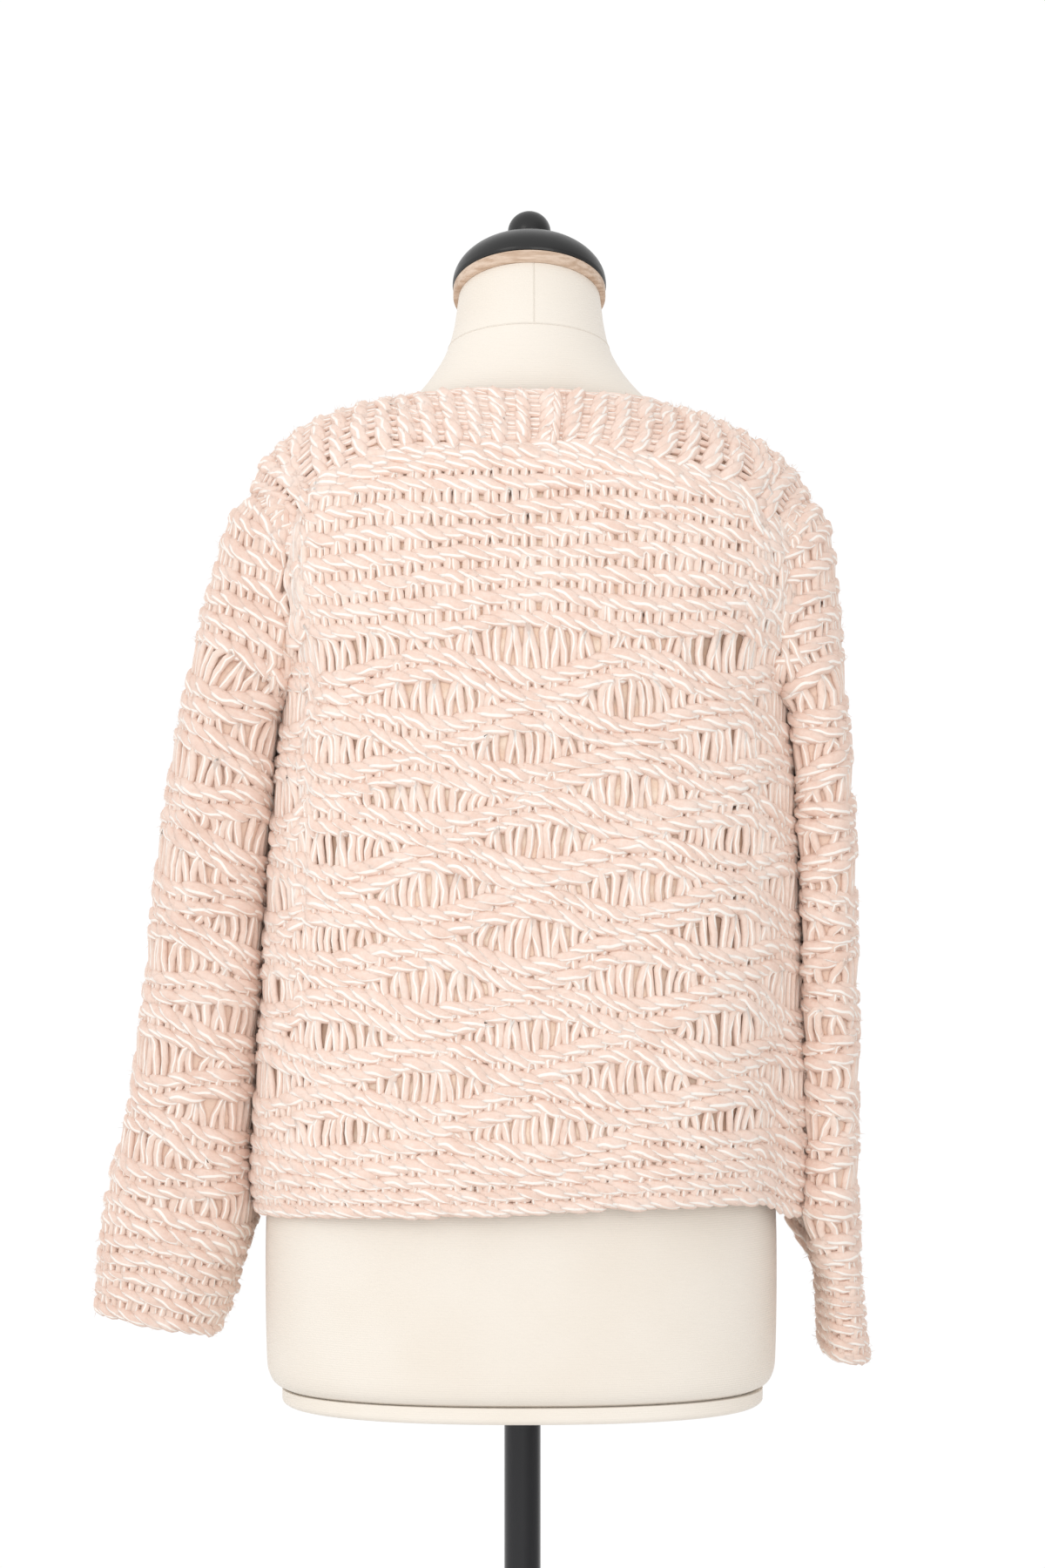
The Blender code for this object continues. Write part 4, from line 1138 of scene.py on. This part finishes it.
def wood_material(name, light, deep):
    """Pale wood: long grain streaks in end-turned timber, and small pores."""
    material, tree, shader = principled(name, roughness=0.55)
    stretched = add(tree, "Mapping", {"Vector": on_piece(tree), "Scale": (0.25, 1.0, 2.4)})
    grain = noise(tree, stretched.outputs["Vector"], 150.0, 4.0, 0.6)
    pores = noise(tree, stretched.outputs["Vector"], 900.0, 2.0, 0.5)
    fill(shader, {"Base Color": mixed(tree, ranged(tree, grain, 0.35, 0.65), light, deep)})
    bump(tree, shader, plus(tree, grain, pores), 0.0003, 0.5)
    return material


def lacquer_material(name, colour, low, high, speck):
    """Painted surface: its gloss changes slightly from place to place, with a fine orange peel."""
    material, tree, shader = principled(
        name, base_color=(*colour, 1), coat_weight=0.1, specular_ior_level=0.35)
    spot = on_piece(tree)
    smear = noise(tree, spot, 22.0, 3.0, 0.6)
    fill(shader, {"Roughness": ranged(tree, smear, 0.3, 0.7, low, high)})
    bump(tree, shader, noise(tree, spot, speck, 2.0, 0.5), 0.00008, 0.4)
    return material


def floor_material():
    """Matt pale floor with a faint mottle."""
    material, tree, shader = principled("pale floor", roughness=0.9)
    mottle = noise(tree, on_piece(tree), 6.0, 3.0, 0.5)
    fill(shader, {"Base Color": mixed(tree, mottle, (0.80, 0.79, 0.78), (0.86, 0.855, 0.85))})
    return material


def form_point(height, angle):
    """A point on the dress form's cover at a section's height and an angle round it."""
    height, angle = np.broadcast_arrays(height, angle)
    half_width, half_depth, middle_x, middle_y, tilt, squareness = [
        smooth(FORM, key, "height", height)
        for key in ("half_width", "half_depth", "middle_x", "middle_y", "tilt", "squareness")]
    x, y = superellipse(angle, half_width, half_depth, squareness)
    tilt = np.radians(tilt)
    return np.stack([
        middle_x + x, middle_y + y * np.cos(tilt), height - y * np.sin(tilt)], axis=-1)


def even_angles(half_width, half_depth, squareness, count):
    """Angles that space points evenly round an oval."""
    angle = np.linspace(0, 2 * math.pi, 2001)
    x, y = superellipse(angle, half_width, half_depth, squareness)
    run = np.concatenate([[0], np.hypot(np.diff(x), np.diff(y)).cumsum()])
    return np.interp(np.linspace(0, run[-1], count, endpoint=False), run, angle)


def lathe(profile, place, tilt, sides):
    """A turned body: a profile (radius, height) from the top down its outside, swept round Z."""
    profile = np.array(profile)
    angle = np.linspace(0, 2 * math.pi, sides, endpoint=False)
    x = profile[:, :1] * np.cos(angle)
    y = profile[:, :1] * np.sin(angle)
    z = profile[:, 1:] + 0 * angle
    turned_y = y * math.cos(tilt) + z * math.sin(tilt)
    turned_z = z * math.cos(tilt) - y * math.sin(tilt)
    points = np.stack([x, turned_y, turned_z], axis=-1) + np.array(place)
    return lattice(points, np.linspace(0, 1, sides + 1), profile[:, 1], True)


def arc(middle, radius_x, radius_y, start, end, count):
    """Points of an elliptical arc in a profile, angles in degrees from +X."""
    angles = np.radians(np.linspace(start, end, count))
    x, z = middle
    return [(x + radius_x * math.cos(a), z + radius_y * math.sin(a)) for a in angles]


def along_neck(distance):
    """A point on the neck's tilted axis, the given distance above the top of the neck."""
    x, y, z = NECK_TOP
    return (x, y + distance * math.sin(NECK_TILT), z + distance * math.cos(NECK_TILT))


def build_form(cover, board_cover, thread):
    """The covered torso, its neck seams, and the board that closes it below."""
    angle = even_angles(0.18, 0.12, 2.3, FORM_SIDES)
    height = np.concatenate([
        np.linspace(FORM_BOTTOM, FORM_ROUNDED, 14)[:-1],
        np.linspace(FORM_ROUNDED, NECK_TOP[2], 120)])
    points = form_point(height[:, None], angle[None])
    cap_low = np.repeat(points[:1].mean(axis=1, keepdims=True), FORM_SIDES, axis=1)
    cap_high = np.repeat(points[-1:].mean(axis=1, keepdims=True), FORM_SIDES, axis=1)
    points = np.concatenate([cap_high, points[::-1], cap_low])
    turn = np.linspace(0, 1, FORM_SIDES + 1)
    shape = lattice(points, turn, np.linspace(0, 1, len(points)), True)
    torso = mesh_piece("form_cover", shape, cover, sharp=40)
    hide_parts("form_torso")

    half_width = FORM["half_width"][0] + RIM_REACH
    half_depth = FORM["half_depth"][0] + RIM_REACH
    profile = [(0.2, FORM_BOTTOM - PART_GAP), (0.0, FORM_BOTTOM - PART_GAP)]
    profile += [(-x, z) for x, z in arc((-0.006, RIM_BOTTOM + 0.005), 0.006, 0.005, 0, -90, 7)]
    profile += [(0.2, RIM_BOTTOM)]
    rings = []
    for inset, level in profile:
        share = max(0.0, 1 - inset / half_depth)
        x, y = superellipse(angle, half_width * share, half_depth * share, FORM["squareness"][0])
        rings.append(np.stack([x, y, level + 0 * x], axis=-1))
    shape = lattice(np.array(rings), turn, np.linspace(0, 1, len(rings)), True)
    board = mesh_piece("board_cover", shape, board_cover, sharp=40)
    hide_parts("form_bottom_board")

    around = np.linspace(0, 2 * math.pi, SEAM_STEPS)
    level = NECK_SEAM + 0 * around
    up = np.linspace(NECK_SEAM, 1.4995, SEAM_STEPS)
    back = np.full(SEAM_STEPS, 1.5 * math.pi + 0.06)
    paths = np.stack([form_point(level, around), form_point(up, back)])
    centre = np.stack([form_point(level, around + math.pi), form_point(up, back + math.pi)])
    paths += unit(paths - centre) * 0.00005
    girth = np.full((2, SEAM_STEPS), SEAM_THREAD)
    seam = tubes(paths, unit(paths - centre), girth, 0.6, 6, np.zeros(2))
    mesh_piece("neck_seams", seam, thread)


def build_stand(wood, cap_paint, pole_paint, foot_paint):
    """Wooden ring, cap with knob, pole and foot, each turned."""
    edge = COLLAR_EDGE
    top = COLLAR_THICKNESS
    ring = [(0, top)] + arc((COLLAR_RADIUS - edge, top - edge), edge, edge, 90, 0, 5)
    ring += arc((COLLAR_RADIUS - edge, edge), edge, edge, 0, -90, 5) + [(0, 0)]

    middle = (0, CAP_LIP + CAP_HEIGHT + KNOB_CENTRE)
    cap = arc(middle, KNOB_RADIUS, KNOB_RADIUS, 90, -KNOB_LOW_END, 24)
    dome_start = math.degrees(math.acos(cap[-1][0] / CAP_RADIUS))
    cap += arc((0, CAP_LIP), CAP_RADIUS, CAP_HEIGHT, dome_start, 0, 28)
    cap += [(CAP_RADIUS, CAP_LIP / 2), (CAP_RADIUS - 0.001, 0), (0, 0)]

    hub_top = FOOT_HEIGHT + HUB_HEIGHT
    low = hub_top + PART_GAP
    high = RIM_BOTTOM - PART_GAP
    pole = [(0, high)] + [(POLE_RADIUS, z) for z in np.linspace(high, low, 9)] + [(0, low)]

    foot = [(0, hub_top)]
    for x, z, radius, start, end in (
            (HUB_RADIUS - HUB_EDGE, hub_top - HUB_EDGE, HUB_EDGE, 90, 0),
            (HUB_RADIUS + HUB_FILLET, FOOT_HEIGHT + HUB_FILLET, -HUB_FILLET, 0, 90),
            (FOOT_RADIUS - FOOT_EDGE, FOOT_HEIGHT - FOOT_EDGE, FOOT_EDGE, 90, 0)):
        foot += arc((x, z), radius, radius, start, end, 7)
    foot += [(FOOT_RADIUS, 0), (0, 0)]

    floor = (0, 0, 0)
    above_ring = along_neck(COLLAR_THICKNESS + 2 * PART_GAP)
    for name, node, slot, finish, sharp, profile, place, tilt, sides in (
            ("wood_ring", "neck_wood_ring", "pale_wood", wood, 50,
             ring, along_neck(PART_GAP), NECK_TILT, 96),
            ("turned_cap", "neck_cap", "black_lacquer", cap_paint, 50,
             cap, above_ring, NECK_TILT, 96),
            ("pole_tube", "stand_pole", "black_gloss", pole_paint, 40, pole, floor, 0, 64),
            ("round_foot", "stand_foot", "black_foot", foot_paint, 50, foot, floor, 0, 128)):
        item = mesh_piece(name, lathe(profile, place, tilt, sides), finish, sharp)
        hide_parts(node)


def backing(name, piece, node, material):
    """The thin cloth under the yarn, just outside the piece's inner face."""
    grid = (piece["grid"] + piece["normal"] * BACKING_LIFT)[::2, ::2]
    rows, columns = grid.shape[:2]
    points, faces, corners = lattice(
        grid, np.linspace(0, piece["stitches"], columns), np.linspace(0, piece["length"], rows))
    ring = points[faces]
    facing = np.cross(ring[:, 1] - ring[:, 0], ring[:, 3] - ring[:, 0])
    away = piece["normal"][::2, ::2][:-1, :-1].reshape(-1, 3)
    if (facing * away).sum() < 0:
        faces, corners = faces[:, ::-1], corners[:, ::-1]
    if piece["cut"]:
        keep = ~piece["cut"](points[faces].mean(axis=1))
        faces, corners = faces[keep], corners[keep]
    used, order = np.unique(faces, return_inverse=True)
    shape = (points[used], order.reshape(faces.shape), corners)
    item = mesh_piece(name, shape, material)
    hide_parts(node)
    return item


def build_knit(name, node, piece, lines, edge_rows, fibre_count, finish, rng):
    """A whole knitted cloth: ridges, legs with the locks at its armhole, nap, and the backing."""
    yarn, strands, lit_fluff, inside = finish
    ridges, legs = knit(piece, lines, rng, edge_rows)
    fibres = ridge_nap(piece, lines, fibre_count, rng)
    legs = join([legs, seam_locks(piece, rng)])
    yarns = [mesh_piece(name + "_ridges", ridges, yarn),
             mesh_piece(name + "_stitches", legs, strands),
             mesh_piece(name + "_nap", fibres, lit_fluff)]
    backing(name + "_cloth", piece, node, inside)


def build_band(end, band, away, fibre_count, finish, rng):
    """The strip over the shoulders: ridges across it, its middle seam, and the neck's chain."""
    yarn, _, lit_fluff, inside = finish
    turned_band = band.transpose(1, 0, 2)
    across = cloth(turned_band, away.transpose(1, 0, 2), BAND_STITCHES, distance_down(turned_band))
    length = across["length"]
    place = (np.arange(BAND_RIDGES) + 0.5) * (length / BAND_RIDGES)
    half = BAND_RIDGES // 2
    still = np.zeros(BAND_RIDGES + 1)
    loops = [ridge_tubes(across, place[:half], still, rng, turned=1),
             ridge_tubes(across, place[half:], still, rng, turned=-1)]
    upper = np.concatenate([[-OVERHANG], place])
    lower = np.concatenate([place, [length + OVERHANG]])
    loops.append(leg_tubes(across, upper, lower, still, still, rng, 7, 5, BAND_LEG_RADIUS))
    loops.append(ridge_tubes(
        across, np.array([length * BAND_SEAM]), still, rng, radius=CHAIN_RADIUS, rise=0.0020,
        low=0.0050, high=0.0080))
    fibres = ridge_nap(across, {"place": place, "swing": still}, fibre_count, rng)
    edge = cloth(band, away, CHAIN_STITCHES, distance_down(band))
    chain = ridge_tubes(
        edge, np.array([0.0005]), still, rng, radius=CHAIN_RADIUS, rise=0.0018, low=0.0025)
    yarns = [mesh_piece("band_" + end + "_ridges", join(loops), yarn),
             mesh_piece("band_" + end + "_nap", fibres, lit_fluff),
             mesh_piece("neck_" + end + "_chain", chain, yarn)]
    backing("band_" + end + "_cloth", across, "band_" + end, inside)


def build_body(finish, rng):
    """Front and back of the body with their bands over the shoulders."""
    core = np.array([0.01, 0, 1.1])
    edges = [0.0010, SEAM_ROWS / 4, SEAM_ROWS / 2]
    for side, end, lens_rows, fibre_count, band_width in (
            (-1, "back", BACK_LENS_ROWS, BACK_FIBRES, BAND_CUT_BACK),
            (1, "front", FRONT_LENS_ROWS, FRONT_FIBRES, BAND_CUT_FRONT)):
        panel = panel_grid(side)
        band = band_grid(side, panel)
        away = normals(np.concatenate([band[:-1], panel]), core)[:FINE_BAND_ROWS]
        whole, seam, hem = knit_grid(side, panel)
        normal = normals(whole, core)
        length = distance_down(whole)
        piece = cloth(
            folded(whole, normal, side), normal, PANEL_STITCHES, length, cut=in_armhole,
            rows=panel_rows(seam, hem, length), first=FIRST_ROW, start=SEAM_ROWS / 2 + 0.003)
        lines = knit_lines(length, TOP_RIDGES, lens_rows, LENS_PITCH)
        build_knit(
            end, end + "_panel", piece, lines, edges, fibre_count, finish, rng)
        build_band(end, band, away, BAND_FIBRES, finish, rng)


def build_sleeve(name, rows, finish, rng):
    """A sleeve: the same knit, round a tube."""
    grid, middle = sleeve_grid(rows)
    length = length_of(grid[:, 0])
    piece = cloth(
        grid, normals(grid, middle), SLEEVE_STITCHES, length, closed=True,
        cut=in_sleeve_opening, start=0.001, turned=1 if grid[0, 0, 0] > 0 else -1)
    lines = knit_lines(length, TOP_RIDGES, SLEEVE_LENS_ROWS, SLEEVE_LENS_PITCH)
    build_knit(name, name, piece, lines, [0.0], SLEEVE_FIBRES, finish, rng)


def light(name, place, size, energy, colour):
    """A square area light that points at the middle of the garment."""
    data = bpy.data.lights.new(name, "AREA")
    data.size = size
    data.energy = energy
    data.color = colour
    item = link_new(name, data)
    item.location = place
    aim = np.array((0.0, 0.0, 1.1)) - np.array(place)
    flat = math.hypot(aim[0], aim[1])
    item.rotation_euler = (math.atan2(flat, -aim[2]), 0, math.atan2(-aim[0], aim[1]))


def build_picture():
    """Camera, lights, world and floor."""
    scene = bpy.context.scene
    data = bpy.data.cameras.new("camera")
    data.sensor_width = SENSOR
    data.lens = SENSOR * CAMERA_DISTANCE / PICTURE_HEIGHT
    camera = link_new("camera", data)
    camera.location = (0, -CAMERA_DISTANCE, CAMERA_HEIGHT)
    camera.rotation_euler = (math.pi / 2, 0, 0)
    scene.camera = camera

    angle = np.linspace(0, 2 * math.pi, 97)[:-1]
    radius = np.array([0.0, 0.6, 1.2])[:, None]
    points = np.stack(
        [radius * np.cos(angle), radius * np.sin(angle), 0 * radius * angle - 0.0002], -1)
    shape = lattice(points, np.linspace(0, 1, 97), radius[:, 0], True)
    mesh = bpy.data.meshes.new("floor")
    mesh.from_pydata(shape[0].tolist(), [], shape[1].tolist())
    mesh.validate()
    mesh.materials.append(floor_material())
    link_new("floor", mesh)

    world = bpy.data.worlds.new("studio")
    world.use_nodes = True
    tree = world.node_tree
    way = add(tree, "VectorMath", {
        0: add(tree, "TexCoord").outputs["Generated"], 1: (0.94, -0.34, 0.0)},
        operation="DOT_PRODUCT")
    dim = ranged(tree, way.outputs["Value"], 0.35, 0.98, 1.02, 0.60)
    fill(tree.nodes["Background"], {"Color": (1, 1, 1, 1), "Strength": dim})
    scene.world = world
    light("key", (-1.5, -2.4, 2.5), 1.2, 9, (1.0, 0.97, 0.94))
    light("front fill", (0.9, -2.8, 1.5), 1.6, 15, (1.0, 0.98, 0.96))
    scene.view_settings.view_transform = "Standard"
    scene.view_settings.look = "None"
    scene.view_settings.exposure = 0


rng = np.random.default_rng(7)
wool = yarn_group()
thread = (1.0, 0.94, 0.88)
# painted shade: the sleeves get darker copies of the body's wool, strands, thread and inside
# colours, for the shade that falls on them
shaded_sleeve_thread = (0.99, 0.92, 0.86)
yarn = yarn_material("peach wool", wool, (0.925, 0.76, 0.675), (0.83, 0.615, 0.515), thread)
strands = yarn_material(
    "peach strands", wool, (0.935, 0.79, 0.705), (0.85, 0.65, 0.55), thread)
shaded_sleeve_yarn = yarn_material(
    "sleeve wool with painted shade", wool, (0.885, 0.715, 0.628), (0.785, 0.565, 0.468), shaded_sleeve_thread)
shaded_sleeve_strands = yarn_material(
    "sleeve strands with painted shade", wool, (0.895, 0.742, 0.655), (0.80, 0.595, 0.495), shaded_sleeve_thread)
# painted light: the loose fibres are a paler copy of the wool, so they read as a lit halo instead
# of shaded spikes
lit_fluff = yarn_material(
    "loose fibres with painted light", wool, (0.99, 0.86, 0.78), (0.96, 0.79, 0.70), (1.0, 0.95, 0.90), 0.0, 0.0)
inside = backing_material(
    "inside of the knit with painted shade", (0.95, 0.81, 0.68), (0.89, 0.69, 0.55), (0.42, 0.27, 0.19))
shaded_sleeve_inside = backing_material(
    "inside of the sleeves with painted shade", (0.93, 0.76, 0.64), (0.87, 0.66, 0.53), (0.85, 0.64, 0.52))
build_form(
    cover_material("ivory jersey", (0.86, 0.80, 0.72), (0.83, 0.76, 0.67)),
    cover_material("ivory board cover", (0.89, 0.83, 0.75), (0.86, 0.79, 0.70)),
    cover_material("seam thread", (0.80, 0.74, 0.66), (0.76, 0.70, 0.61)))
build_stand(
    wood_material("bare pale wood", (0.72, 0.56, 0.44), (0.52, 0.36, 0.25)),
    lacquer_material("black satin lacquer", (0.015, 0.015, 0.015), 0.30, 0.42, 500.0),
    lacquer_material("black gloss enamel", (0.012, 0.012, 0.014), 0.10, 0.16, 300.0),
    lacquer_material("black satin enamel", (0.015, 0.015, 0.016), 0.32, 0.45, 450.0))
build_body((yarn, strands, lit_fluff, inside), rng)
for name, rows in (("sleeve_left", LEFT_SLEEVE), ("sleeve_right", RIGHT_SLEEVE)):
    build_sleeve(name, rows, (shaded_sleeve_yarn, shaded_sleeve_strands, lit_fluff, shaded_sleeve_inside), rng)
build_picture()
